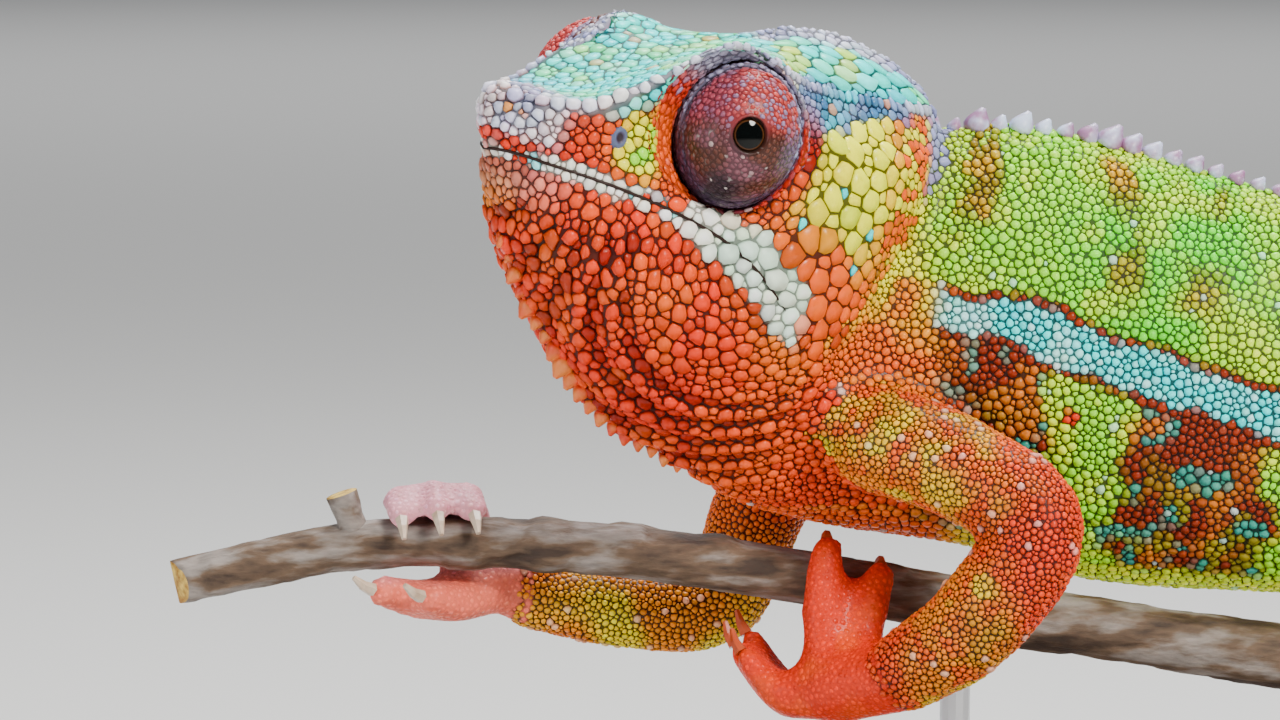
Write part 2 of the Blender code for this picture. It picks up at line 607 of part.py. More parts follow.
# ---------------------------------------------------------------- parting the flesh
def mouth_cut():
    rings = []
    for f, up in smooth_path([(f, u, 0) for f, u in MOUTH_LINE], 24)[:, :2]:
        rings.append([head_point(f, l, up + h) for l, h in
                      ((-24, -GAP / 2), (24, -GAP / 2), (24, GAP / 2), (-24, GAP / 2))])
    return cutter("cut_mouth", *loft(rings))


def head_cut():
    """Plane behind the casque's tip and the throat pouch, as (point, normal)."""
    top, low = head_point(-35.0, 0, 13.0), head_point(-19.0, 0, -24.0)
    return (top + low) / 2, unit(np.cross(LEFT, top - low))


def limb_cut(name, index, reach, inward=0.0):
    """Disc that halves the bend at a limb's joint, moved toward the inside of the bend."""
    points = [np.array(p) for p, _ in LIMBS[name]]
    radius = LIMBS[name][index][1]
    before = unit(points[index] - points[index - 1])
    after = unit(points[index + 1] - points[index]) if inward else before
    centre = points[index] + inward * radius * unit(after - before) if inward else points[index]
    return centre, before + after, reach * radius


def cuts():
    """Every parting cut, and the anchor points that name the pieces between them."""
    yield mouth_cut()
    point, normal = head_cut()
    yield slab("cut_head", point, normal, (26, 25), tall=UP)
    yield slab("cut_neck", (-46.5, 2.0, 110.6), NECK_CUT_NORMAL, (24, 30.5))
    yield slab("cut_trunk", (9.0, 2.0, 102.0), (1, 0, -0.25), (19, 27))
    yield slab("cut_tail", (91.0, 2.0, 82.5), (1, 0, -0.4), (12, 12))
    for k, share in enumerate(TAIL_CUTS, 1):
        ahead = coil_point(share + 0.005) - coil_point(share - 0.005)
        reach = 1.3 * (TAIL_RADII[0] + (TAIL_RADII[1] - TAIL_RADII[0]) * share) + 0.3
        yield disc(f"cut_tail_{k}", coil_point(share), ahead, reach)
    for name in LIMBS:
        point, normal, half = LIMB_ROOTS[name]
        yield slab("cut_root_" + name, point, normal, half)
        reach, inward = (1.8, 0.5) if name.startswith("arm") else (2.05, 0.95)
        yield disc("cut_middle_" + name, *limb_cut(name, 2, reach, inward))
        yield disc("cut_end_" + name, *limb_cut(name, 4, 1.5))
    for name, spec in FEET.items():
        for bundle in ("outer", "inner"):
            yield bundle_cut(name, bundle)


def bundle_cut(name, bundle):
    """Disc across a bundle of toes, between the palm and the tips."""
    spec = FEET[name]
    paths = [smooth_path(toe, TOE_SAMPLES) for toe in spec[bundle]]
    centre = np.mean([p[BUNDLE_CUT] for p in paths], axis=0)
    ahead = np.mean([p[BUNDLE_CUT + 1] - p[BUNDLE_CUT - 1] for p in paths], axis=0)
    spread = max(np.linalg.norm(p[BUNDLE_CUT] - centre) for p in paths)
    return disc(f"cut_{name}_{bundle}", centre, ahead, spread + 1.7 * spec["radius"][bundle][0])


def anchors():
    """A place inside each piece of flesh, to give it its name."""
    yield "head", head_point(0, 0, 0)
    yield "lower_jaw", head_point(2, 0, -20)
    yield "neck", np.array((-53.0, -2.0, 108.0))
    yield "trunk_front", np.array((-20.0, 2.5, 108.0))
    yield "trunk_rear", np.array((45.0, 2.0, 95.0))
    shares = (0.0, *TAIL_CUTS, 1.0)
    for k in range(len(shares) - 1):
        yield f"tail_{k + 1}", coil_point((shares[k] + shares[k + 1]) / 2)
    for name, (upper, lower) in SEGMENTS.items():
        points = [np.array(p) for p, _ in LIMBS[name]]
        yield upper, points[1]
        yield lower, points[3]
    for name, spec in FEET.items():
        yield name, np.array(spec["palm"][1][0])
        for bundle in ("outer", "inner"):
            first = np.array(spec[bundle][0])
            kind = "fingers" if name.startswith("hand") else "toes"
            yield f"{name}_{bundle}_{kind}", 0.7 * first[-1] + 0.3 * first[-2]


def bodies(bm):
    """The bodies of a bmesh, as (verts, faces) in millimetres: faces that share an edge are of one body."""
    bm.verts.index_update()
    bm.faces.index_update()
    todo, found = set(bm.faces), []
    while todo:
        body, stack = set(), [todo.pop()]
        while stack:
            face = stack.pop()
            body.add(face)
            near = {f for e in face.edges for f in e.link_faces} & todo
            todo -= near
            stack += near
        corners = sorted({v for f in body for v in f.verts}, key=lambda v: v.index)
        order = {v: i for i, v in enumerate(corners)}
        faces = [tuple(order[v] for v in f.verts) for f in sorted(body, key=lambda f: f.index)]
        found.append((np.array([v.co for v in corners]) / MM, faces))
    return found


def welded(verts, faces):
    """A body with its close vertices joined, as far as that leaves it one closed surface."""
    for reach in (MERGE, MERGE / 2, MERGE / 4, MERGE / 16):
        bm = bmesh.new()
        corners = [bm.verts.new(v * MM) for v in verts]
        for face in faces:
            bm.faces.new([corners[i] for i in face])
        bmesh.ops.remove_doubles(bm, verts=bm.verts, dist=reach * MM)
        bmesh.ops.dissolve_degenerate(bm, edges=bm.edges, dist=0.02 * MM)
        closed = all(len(e.link_faces) == 2 for e in bm.edges) and all(v.is_manifold for v in bm.verts)
        joined_up = bodies(bm)
        bm.free()
        if closed and len(joined_up) == 1:
            return joined_up[0]
    return verts, faces


def volume(verts, faces):
    total = 0.0
    for face in faces:
        a = verts[face[0]]
        for b, c in zip(face[1:-1], face[2:]):
            total += a @ np.cross(verts[b], verts[c]) / 6
    return total


def part_flesh(whole, clearances):
    """Cuts the fused flesh into its named sub-parts."""
    for other in clearances:
        boolean(whole, other, "DIFFERENCE")
    for other in cuts():
        boolean(whole, other, "DIFFERENCE")
    bm = bmesh.new()
    bm.from_mesh(evaluated_mesh(whole))
    shells = [welded(*body) for body in bodies(bm) if volume(*body) > SLIVER_VOLUME]
    bm.free()
    trees = [BVHTree.FromPolygons(verts.tolist(), faces) for verts, faces in shells]
    for name, place in anchors():
        shell, = [body for body, tree in zip(shells, trees) if encloses(tree, place)]
        obj = new_object(name, *shell, PARTS)
        tone = SKIN_COLOURS.get(name.split("_")[0], SKIN_COLOURS["trunk"])
        obj.data.materials.append(material("skin_" + name, *tone))
        for polygon in obj.data.polygons:
            polygon.use_smooth = True


def encloses(tree, place):
    """Whether a place lies inside a closed shell: a ray from it crosses the surface an odd number of times."""
    start, direction, crossings = Vector(place), Vector((0.31, 0.17, 0.935)), 0
    while True:
        spot = tree.ray_cast(start, direction)[0]
        if spot is None:
            return crossings % 2 == 1
        crossings += 1
        start = spot + direction * 1e-3


# ---------------------------------------------------------------- finishes
def material(name, colour, roughness, metallic=0.0):
    mat = bpy.data.materials.new(name)
    mat.use_nodes = True
    shader = mat.node_tree.nodes["Principled BSDF"]
    shader.inputs["Base Color"].default_value = (*colour, 1)
    shader.inputs["Roughness"].default_value = roughness
    shader.inputs["Metallic"].default_value = metallic
    return mat


SKIN_COLOURS = {
    "head": ((0.36, 0.62, 0.52), 0.5), "lower": ((0.72, 0.13, 0.02), 0.5), "neck": ((0.75, 0.33, 0.03), 0.5),
    "trunk": ((0.22, 0.62, 0.05), 0.5), "tail": ((0.25, 0.55, 0.1), 0.5), "upper": ((0.66, 0.17, 0.02), 0.5),
    "forearm": ((0.7, 0.25, 0.02), 0.5), "hand": ((0.72, 0.12, 0.03), 0.5), "thigh": ((0.3, 0.5, 0.06), 0.5),
    "shin": ((0.45, 0.42, 0.05), 0.5), "foot": ((0.5, 0.3, 0.1), 0.5),
}

for old in list(bpy.data.objects):
    bpy.data.objects.remove(old)
PARTS = bpy.data.collections.new("panther_chameleon")
CUTTERS = bpy.data.collections.new("cutters")
for made in (PARTS, CUTTERS):
    bpy.context.scene.collection.children.link(made)

whole_flesh = flesh()
CUTTERS.objects.link(whole_flesh)
for crest_name, crest in (("dorsal_spines", dorsal_crest()), ("gular_spines", gular_crest())):
    boolean(whole_flesh, cutter(crest_name, *crest), "UNION")

room = [orbit("left"), orbit("right"), cutter("perch_room", *perch_solid(GAP))]
claw_places = list(claws())
for claw_name, *place in claw_places:
    claw = new_object(claw_name, *claw_solid(*place), PARTS)
    claw.data.materials.append(material("horn_" + claw_name, (0.62, 0.55, 0.46), 0.35))
    room.append(cutter("end_" + claw_name, *toe_end(*place[:2])))
part_flesh(whole_flesh, room)
whole_flesh.hide_render = True
whole_flesh.hide_viewport = True

for eye_side in ("left", "right"):
    eye_turret(eye_side).data.materials.append(material("turret_" + eye_side, (0.35, 0.08, 0.07), 0.45))
    eye(eye_side).data.materials.append(material("eye_" + eye_side, (0.01, 0.01, 0.012), 0.08))
perch().data.materials.append(material("bark", (0.42, 0.37, 0.31), 0.85))
stand_base().data.materials.append(material("stand_wood", (0.045, 0.035, 0.03), 0.4))
for rod in stand_rods():
    rod.data.materials.append(material("steel_" + rod.name, (0.55, 0.55, 0.56), 0.3, 1.0))
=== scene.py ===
"""Looks of a male panther chameleon on a cut branch: skin, scales, eyes, crests, bark and stand."""
import math

import bmesh
import bpy
import numpy as np
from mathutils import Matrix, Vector
from mathutils.bvhtree import BVHTree
from mathutils.kdtree import KDTree


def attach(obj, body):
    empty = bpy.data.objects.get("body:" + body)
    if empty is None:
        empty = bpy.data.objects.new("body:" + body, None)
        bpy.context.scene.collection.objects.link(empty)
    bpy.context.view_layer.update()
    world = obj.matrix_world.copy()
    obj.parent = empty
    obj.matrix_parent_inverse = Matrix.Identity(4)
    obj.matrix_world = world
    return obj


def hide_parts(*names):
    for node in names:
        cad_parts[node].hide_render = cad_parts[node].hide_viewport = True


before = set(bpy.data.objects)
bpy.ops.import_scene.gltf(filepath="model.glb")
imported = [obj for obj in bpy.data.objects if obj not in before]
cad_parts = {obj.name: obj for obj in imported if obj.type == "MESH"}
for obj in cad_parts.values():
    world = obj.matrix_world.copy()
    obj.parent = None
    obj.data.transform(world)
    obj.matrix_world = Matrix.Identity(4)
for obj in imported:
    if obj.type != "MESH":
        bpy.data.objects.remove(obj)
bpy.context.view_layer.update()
MM = 0.001


# ---- Camera
# It stands half a metre off the animal's left side, a little above the head, and looks
# slightly down at the shoulder.
camera_data = bpy.data.cameras.new("camera")
camera_data.sensor_width = 36
camera_data.lens = 133.2
camera_data.clip_start = 0.01
def placed(name, data):
    """A new object in the scene, made from a mesh, a lamp or a camera."""
    made = bpy.data.objects.new(name, data)
    bpy.context.scene.collection.objects.link(made)
    return made


camera = placed("camera", camera_data)
camera_pitch = math.radians(6)
camera_aim = Vector((-0.068, 0, 0.107))
camera.location = camera_aim - 0.5 * Vector((0, math.cos(camera_pitch), -math.sin(camera_pitch)))
camera.rotation_euler = (math.radians(90) - camera_pitch, 0, 0)
bpy.context.scene.camera = camera


# ---- Studio
# A pale floor and soft lamps: the key high on the right, a fill on the left, a rim lamp behind
# and one over the far floor. The room itself gives a weak even light.
def lamp(name, place, aim, size, power, colour=(1, 1, 1)):
    data = bpy.data.lights.new(name, "AREA")
    data.shape, data.size, data.energy, data.color = "DISK", size, power, colour
    lamp_object = placed(name, data)
    lamp_object.location = place
    lamp_object.rotation_euler = (Vector(aim) - Vector(place)).to_track_quat("-Z", "Y").to_euler()


lamp("key_lamp", (0.42, -0.62, 0.72), (-0.02, 0, 0.1), 0.26, 13.5, (1, 0.95, 0.87))
lamp("fill_lamp", (-0.75, -0.55, 0.35), (-0.05, 0, 0.1), 0.5, 3.2, (0.95, 0.97, 1))
lamp("rim_lamp", (0.05, 0.30, 0.80), (-0.03, 0, 0.1), 0.3, 9.0)
lamp("floor_lamp", (0, 3.0, 2.4), (0, 3.2, 0), 2.5, 45.0)
room = bpy.data.worlds.new("room")
room.use_nodes = True
room.node_tree.nodes["Background"].inputs["Color"].default_value = (0.80, 0.82, 0.86, 1)
room.node_tree.nodes["Background"].inputs["Strength"].default_value = 0.24
bpy.context.scene.world = room


def new_material(name):
    """A material with its node tree and its Principled shader."""
    made = bpy.data.materials.new(name)
    made.use_nodes = True
    return made, made.node_tree, made.node_tree.nodes["Principled BSDF"]


def feed(tree, node, *in_order, **named):
    """Sets a node's modes (in small letters) and its inputs, as plain values or from other nodes."""
    inputs = dict(enumerate(in_order))
    for key, value in named.items():
        if key[0].islower():
            setattr(node, key, value)
        else:
            inputs[key.replace("_", " ")] = value
    for key, value in inputs.items():
        if isinstance(value, bpy.types.NodeSocket):
            tree.links.new(value, node.inputs[key])
        else:
            node.inputs[key].default_value = value


def add(tree, kind, *in_order, output=0, **named):
    """Adds a node, feeds it, and gives the output that is wanted from it."""
    node = tree.nodes.new(kind)
    feed(tree, node, *in_order, **named)
    return node.outputs[output]


floor_material, tree, shader = new_material("floor_paint")
feed(tree, shader, Base_Color=(0.72, 0.72, 0.71, 1), Roughness=0.8)
floor_mesh = bpy.data.meshes.new("floor")
floor_mesh.from_pydata([(-12, -12, 0), (12, -12, 0), (12, 12, 0), (-12, 12, 0)], [], [(0, 1, 2, 3)])
floor_mesh.materials.append(floor_material)
floor = placed("floor", floor_mesh)


# ---- Skin
# One continuous hide from snout to tail tip. It is drawn over the fused body parts, a scale's
# depth inside them, with the parting lines closed, so that only scales and thin seams show.
SKIN_DEPTH = 0.26        # how far the hide lies inside the body's outline
SWELLING = 0.24          # how far each body part is swollen first, so that neighbours fuse
CUFF = 1.05              # radius of the balls of flesh round a claw's root
HIDE_CELL = 0.68


def mesh_arrays(mesh):
    """Vertex places in millimetres, and the polygons cut into triangles."""
    places = np.empty(len(mesh.vertices) * 3)
    mesh.vertices.foreach_get("co", places)
    mesh.calc_loop_triangles()
    corners = np.empty(len(mesh.loop_triangles) * 3, np.int32)
    mesh.loop_triangles.foreach_get("vertices", corners)
    return places.reshape(-1, 3) / MM, corners.reshape(-1, 3)


def vertex_normals(places, triangles):
    a, b, c = (places[triangles[:, k]] for k in range(3))
    face_normals = np.cross(b - a, c - a)
    normals = np.zeros_like(places)
    for k in range(3):
        np.add.at(normals, triangles[:, k], face_normals)
    return normals / np.maximum(np.linalg.norm(normals, axis=1, keepdims=True), 1e-12)


def mesh_object(name, places, faces, material, tint=None, smooth=True):
    """A new mesh object from places in millimetres, with its colours as the attribute tint."""
    mesh = bpy.data.meshes.new(name)
    mesh.from_pydata(np.asarray(places * MM, float).tolist(), [], faces)
    if tint is not None:
        layer = mesh.color_attributes.new("tint", "FLOAT_COLOR", "POINT")
        layer.data.foreach_set("color", np.column_stack([tint, np.ones(len(tint))]).astype(np.float32).ravel())
    mesh.polygons.foreach_set("use_smooth", np.full(len(mesh.polygons), smooth))
    mesh.materials.append(material)
    return placed(name, mesh)


flesh_names = sorted(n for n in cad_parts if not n.startswith(("claw", "eye", "perch", "stand")))
body_places, body_triangles, body_node = [], [], []
for number, flesh_name in enumerate(flesh_names):
    merged = bmesh.new()
    merged.from_mesh(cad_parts[flesh_name].data)
    bmesh.ops.remove_doubles(merged, verts=merged.verts, dist=2e-6)
    scratch = bpy.data.meshes.new("scratch")
    merged.to_mesh(scratch)
    merged.free()
    places, triangles = mesh_arrays(scratch)
    bpy.data.meshes.remove(scratch)
    body_triangles.append(triangles + sum(map(len, body_places)))
    body_places.append(places + SWELLING * vertex_normals(places, triangles))
    body_node.append(np.full(len(triangles), number))
body_places, body_triangles, body_node = map(np.concatenate, (body_places, body_triangles, body_node))
body_tree = BVHTree.FromPolygons(body_places.tolist(), body_triangles.tolist())

# A cuff of flesh wraps each claw's root and joins it to its finger or toe.
ball = bmesh.new()
bmesh.ops.create_icosphere(ball, subdivisions=2, radius=1.0)
ball_places = np.array([corner.co[:] for corner in ball.verts])
ball_triangles = np.array([[corner.index for corner in face.verts] for face in ball.faces])
ball.free()
claw_middles, flesh_places, flesh_triangles = {}, [body_places], [body_triangles]
for name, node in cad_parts.items():
    if name.startswith("claw"):
        claw = mesh_arrays(node.data)[0]
        claw_middles[name] = claw.mean(axis=0)
        nearest = [body_tree.find_nearest(corner) for corner in claw.tolist()]
        away = np.array([found[3] for found in nearest])
        root = claw[away <= np.percentile(away, 30)].mean(axis=0)
        flesh = np.array(body_tree.find_nearest(root.tolist())[0])
        for share in (0, 0.5, 1):
            flesh_triangles.append(ball_triangles + sum(map(len, flesh_places)))
            flesh_places.append(root + share * (flesh - root) + CUFF * ball_places)
flesh_places, flesh_triangles = np.concatenate(flesh_places), np.concatenate(flesh_triangles)
swollen_mesh = bpy.data.meshes.new("swollen")
swollen_mesh.from_pydata((flesh_places * MM).tolist(), [], flesh_triangles.tolist())
swollen = placed("swollen", swollen_mesh)
remesh = swollen.modifiers.new("hide", "REMESH")
remesh.mode = "VOXEL"
remesh.voxel_size = HIDE_CELL * MM
hide_mesh = bpy.data.meshes.new_from_object(swollen.evaluated_get(bpy.context.evaluated_depsgraph_get()))
bpy.data.objects.remove(swollen)
hide_places, hide_triangles = mesh_arrays(hide_mesh)
hide_quads = [tuple(p.vertices) for p in hide_mesh.polygons]
bpy.data.meshes.remove(hide_mesh)
hide_edges = np.unique(np.sort(np.concatenate([hide_triangles[:, [0, 1]], hide_triangles[:, [1, 2]],
                                               hide_triangles[:, [2, 0]]]), axis=1), axis=0)


def relaxed(places, edges, passes, weight=None):
    """Evens out a surface; the second, negative step of each pass keeps thin toes from shrinking."""
    ends = np.concatenate([edges, edges[:, ::-1]])
    count = np.bincount(ends[:, 0], minlength=len(places))[:, None]
    steps = (0.55, -0.57) if weight is None else (0.6,)
    for _ in range(passes):
        for step in steps:
            mean = np.zeros_like(places)
            for axis in range(3):
                mean[:, axis] = np.bincount(ends[:, 0], places[ends[:, 1], axis], len(places))
            places = places + step * (mean / count - places) * (1 if weight is None else weight[:, None])
    return places


def ease(low, high, value):
    """0 below low, 1 above high, and smooth between them."""
    t = np.clip((value - low) / (high - low), 0, 1)
    return t * t * (3 - 2 * t)


# The head's own directions, as the body parts carry them.
HEAD_MIDDLE = np.array((-65.5, -15.0, 134.9))
yaw, pitch, roll = map(math.radians, (36.5, 20.0, 8.0))
level_ahead = np.array((-math.cos(yaw), -math.sin(yaw), 0))
level_left = np.array((math.sin(yaw), -math.cos(yaw), 0))
AHEAD = level_ahead * math.cos(pitch) + np.array((0, 0, math.sin(pitch)))
crown = -level_ahead * math.sin(pitch) + np.array((0, 0, math.cos(pitch)))
LEFT = level_left * math.cos(roll) - crown * math.sin(roll)
UP = crown * math.cos(roll) + level_left * math.sin(roll)


def in_head(places):
    """Millimetres ahead of, left of and above the point between the eyes."""
    return (places - HEAD_MIDDLE) @ np.column_stack([AHEAD, LEFT, UP])


def from_head(ahead, left, up):
    return HEAD_MIDDLE + ahead * AHEAD + left * LEFT + up * UP


hide_places = relaxed(hide_places, hide_edges, 5)
nape = np.linalg.norm(hide_places - (-57.0, -14.0, 108.0), axis=1)
hide_places = relaxed(hide_places, hide_edges, 40, 1 - ease(8, 17, nape))
# Hands and feet are fleshy, with no corners where finger and palm parts meet.
mitts = {number for number, name in enumerate(flesh_names) if name.startswith(("hand", "foot"))}
on_mitt = np.array([body_node[body_tree.find_nearest(place)[2]] in mitts for place in hide_places.tolist()], float)
on_mitt = ease(0.2, 0.6, relaxed(np.repeat(on_mitt[:, None], 3, 1), hide_edges, 4, np.ones(len(on_mitt)))[:, 0])
to_claw = np.min([np.linalg.norm(hide_places - middle, axis=1) for middle in claw_middles.values()], axis=0)
hide_places = relaxed(hide_places, hide_edges, 8, on_mitt * (0.2 + 0.8 * ease(2.0, 4.5, to_claw)))
hide_normals = vertex_normals(hide_places, hide_triangles)
hide_places = hide_places - hide_normals * (SWELLING + SKIN_DEPTH)
hide_places = relaxed(hide_places, hide_edges, 1)
hide_normals = vertex_normals(hide_places, hide_triangles)
# Throat pleats run round the corner of the mouth, and a low keel runs along the casque.
hide_ahead, hide_side, hide_up = in_head(hide_places).T
PLEAT = 2.25             # from one pleat's top to the next


def pleats(ahead, up):
    """Height of the throat's pleats, from -1 in the creases to 1 on top."""
    reach = np.hypot(ahead + 10, up + 12)
    shown = ease(12, 16, reach) * (1 - ease(29, 33, reach)) * ease(-12, -16, up) * ease(-28, -18, ahead)
    return shown * np.sin(reach * 2 * math.pi / PLEAT)


keel_rise = 0.55 * np.exp(-(hide_side / 0.8) ** 2) * ease(-6, -9, hide_ahead) * ease(6, 9, hide_up)
relief = 0.34 * pleats(hide_ahead, hide_up) + keel_rise
# Shallow clefts part the three fused fingers of the far hand, from between its claws.
for first, second in (("outer_1", "outer_2"), ("outer_2", "outer_3")):
    first_claw, second_claw = claw_middles["claw_hand_right_" + first], claw_middles["claw_hand_right_" + second]
    offset = hide_places - (first_claw + second_claw) / 2
    across = (second_claw - first_claw) / np.linalg.norm(second_claw - first_claw)
    relief -= 0.5 * np.exp(-((offset @ across) / 0.85) ** 2) * (1 - ease(5, 9, np.linalg.norm(offset, axis=1)))
hide_places = hide_places + hide_normals * relief[:, None]
hide_normals = vertex_normals(hide_places, hide_triangles)
hide_tree = BVHTree.FromPolygons(hide_places.tolist(), hide_quads)


def group_of(node_name):
    """The region of hide that a body part belongs to."""
    for start, group in (("head", "head"), ("lower", "throat"), ("neck", "neck"), ("trunk", "trunk"),
                         ("tail", "tail"), ("upper_arm", "arm"), ("forearm", "arm"), ("hand", "hand")):
        if node_name.startswith(start):
            return group
    return "foot" if node_name.startswith("foot") else "leg"


def regions(places):
    """For each place, the region's name, and whether the body part is one of the left side."""
    found = [body_tree.find_nearest(p)[2] for p in places.tolist()]
    names = [flesh_names[k] for k in body_node[found]]
    return np.array([group_of(n) for n in names]), np.array(["left" in n for n in names])


# ---- Markings
# The colours of a coastal male in display: turquoise crown with pearl ridges, yellow cheeks,
# white lips, orange throat, lime flanks with rust bars and one turquoise stripe.
def paint(red, green, blue):
    """A colour as a painter mixes it, brought to the linear values that shaders use."""
    return np.array([(c / 12.92 if c <= 0.04045 else ((c + 0.055) / 1.055) ** 2.4) for c in (red, green, blue)])


PEARL, LAVENDER, CREAM = paint(0.92, 0.93, 1.0), paint(0.58, 0.60, 0.78), paint(0.98, 0.86, 0.82)
SLATE, TURQUOISE, MINT, CYAN = (paint(0.26, 0.50, 0.70), paint(0.0, 1.0, 0.96), paint(0.38, 1.0, 0.70),
                                paint(0.0, 0.95, 1.0))
YELLOW, AMBER, ORANGE = paint(1.0, 1.0, 0.0), paint(0.94, 0.56, 0.0), paint(0.97, 0.36, 0.0)
SCARLET, BLOOD = paint(0.90, 0.18, 0.0), paint(0.62, 0.06, 0.0)
LIME, LEAF, SUN = paint(0.62, 1.0, 0.0), paint(0.28, 1.0, 0.0), paint(0.88, 1.0, 0.0)
RUST, TEAL, OLIVE = paint(0.56, 0.16, 0.02), paint(0.0, 0.62, 0.55), paint(0.52, 0.55, 0.02)
MILK, JADE, PINK = paint(1.0, 1.0, 0.95), paint(0.80, 0.94, 0.84), paint(1.0, 0.70, 0.76)
STRIPE = paint(0.05, 0.98, 1.0)


def grain(places, size, seed=0):
    """Smooth random values from 0 to 1 that change over about the given size."""
    grid = places / size + seed * 7.31
    cell = np.floor(grid)
    share = grid - cell
    share = share * share * (3 - 2 * share)
    total = np.zeros(len(places))
    for corner in np.ndindex(2, 2, 2):
        spot = np.sin((cell + corner) @ (127.1, 311.7, 74.7)) * 43758.5453
        weight = np.prod(np.where(corner, share, 1 - share), axis=1)
        total += weight * (spot - np.floor(spot))
    return total


def blend(colours, new, amount):
    """One tone, or a tone for each place, covered by another by the amount at each place."""
    return colours + (new - colours) * np.clip(amount, 0, 1)[:, None]


def band(value, low, high, soft):
    """1 between low and high, easing to 0 over soft beyond them."""
    return ease(low - soft, low + soft, value) * (1 - ease(high - soft, high + soft, value))


def line_distance(points, line):
    """Distance from each point to a bent line."""
    best = np.full(len(points), 1e9)
    for a, b in zip(line[:-1], line[1:]):
        along = np.clip((points - a) @ (b - a) / ((b - a) @ (b - a)), 0, 1)
        best = np.minimum(best, np.linalg.norm(points - a - along[:, None] * (b - a), axis=1))
    return best


# Ahead, out and up of the bony ridge that runs from the snout over the eye to the casque.
RIDGE = np.array([(19.6, 2.6, -4.9), (17.2, 5.8, -4.4), (13.6, 8.0, -2.9), (10.8, 9.2, -0.3), (6.8, 10.3, 4.0),
                  (2.0, 11.0, 8.3), (-4.0, 10.6, 8.3), (-7.4, 10.0, 7.4), (-11.0, 9.2, 7.6), (-17.0, 8.4, 8.4),
                  (-24.0, 7.0, 9.5), (-29.5, 4.6, 10.2), (-32.5, 2.0, 10.2)])
ROOF = np.array([(20.4, -5.0), (17.2, -3.8), (13.6, -3.1), (10.8, -1.9), (6.8, 1.0), (2.0, 4.4), (-4.0, 8.4),
                 (-10.0, 11.4), (-17.0, 13.3), (-24.0, 13.2), (-29.5, 12.1), (-33.0, 10.9)])[::-1]
KEEL = [(-6.5, 0, 9.6), (-11.2, 0, 12.6), (-17.0, 0, 13.9), (-22.0, 0, 13.9), (-27.0, 0, 13.0), (-30.4, 0, 11.6),
        (-33.0, 0, 9.6)]
MOUTH = np.array([(20.0, -10.8), (16.4, -10.3), (10.7, -10.1), (4.0, -10.1), (-0.2, -10.4), (-5.1, -11.2),
                  (-9.2, -12.7), (-13.3, -14.9), (-17.5, -17.4), (-34.0, -27.0)])[::-1]
CHEEK_FLECKS = [(-15.9, -2.1), (-21.4, -5.1), (-12.4, -6.6), (-20.9, -9.0)]
STRIPE_LINE = np.array([(-44.0, 114.6), (-37.0, 113.4), (-30.7, 112.1), (-24.5, 110.0), (-17.2, 106.9),
                        (-9.9, 104.8), (-1.6, 101.9), (20.0, 98.6), (45.0, 95.2), (66.0, 91.6), (84.0, 86.5)])
BARS = [(-33.4, 2.0), (-17.2, 1.7), (-8.4, 1.8), (5.5, 2.2), (19.0, 2.3), (32.5, 2.2), (46.0, 2.1), (59.0, 1.9),
        (71.0, 1.6)]
EYES = {"left": (from_head(-3.2, 9.0, -0.8), 0.46 * AHEAD + LEFT + 0.05 * UP),
        "right": (from_head(0.9, -10.9, -0.7), 0.3 * AHEAD - LEFT + 0.08 * UP)}
EYES = {side: (base, look / np.linalg.norm(look)) for side, (base, look) in EYES.items()}
TURRET_RADIUS, TURRET_HEIGHT = 7.6, 6.9
TURRET_WIDTH = 0.85      # width of the lids' cone as a share of its height up the cheek
SOCKETS = {"left": (from_head(-2.0, 9.3, -0.7), LEFT), "right": EYES["right"]}


def socket_edge(rise):
    """How far the eyelid skin reaches from the middle of the socket, by how far up each place lies."""
    return np.interp(rise, (-1, 0, 0.6, 1), (8.2, 9.3, 8.7, 7.9))


def off_eye(places):
    """Distance from the nearer turret's axis, and how far out along it."""
    best, height = np.full(len(places), 99.0), np.zeros(len(places))
    for base, look in EYES.values():
        out = (places - base) @ look
        off = np.linalg.norm(places - base - out[:, None] * look, axis=1)
        near = (off < best) & (out > -5)
        best, height = np.where(near, off, best), np.where(near, out, height)
    return best, height


def head_measures(places):
    """Ahead, out, up; distance from the bony ridge, inside it, below it; above the roof and the mouth."""
    ahead, left, up = in_head(places).T
    out = np.abs(left)
    ridge = line_distance(np.column_stack([ahead, out, up]), RIDGE)
    inside = np.interp(-ahead, -RIDGE[:, 0], RIDGE[:, 1]) - out
    below_ridge = np.interp(-ahead, -RIDGE[:, 0], RIDGE[:, 2]) - up
    over_roof = up - np.interp(ahead, ROOF[:, 0], ROOF[:, 1])
    return ahead, out, up, ridge, inside, below_ridge, over_roof, up - np.interp(ahead, MOUTH[:, 0], MOUTH[:, 1])


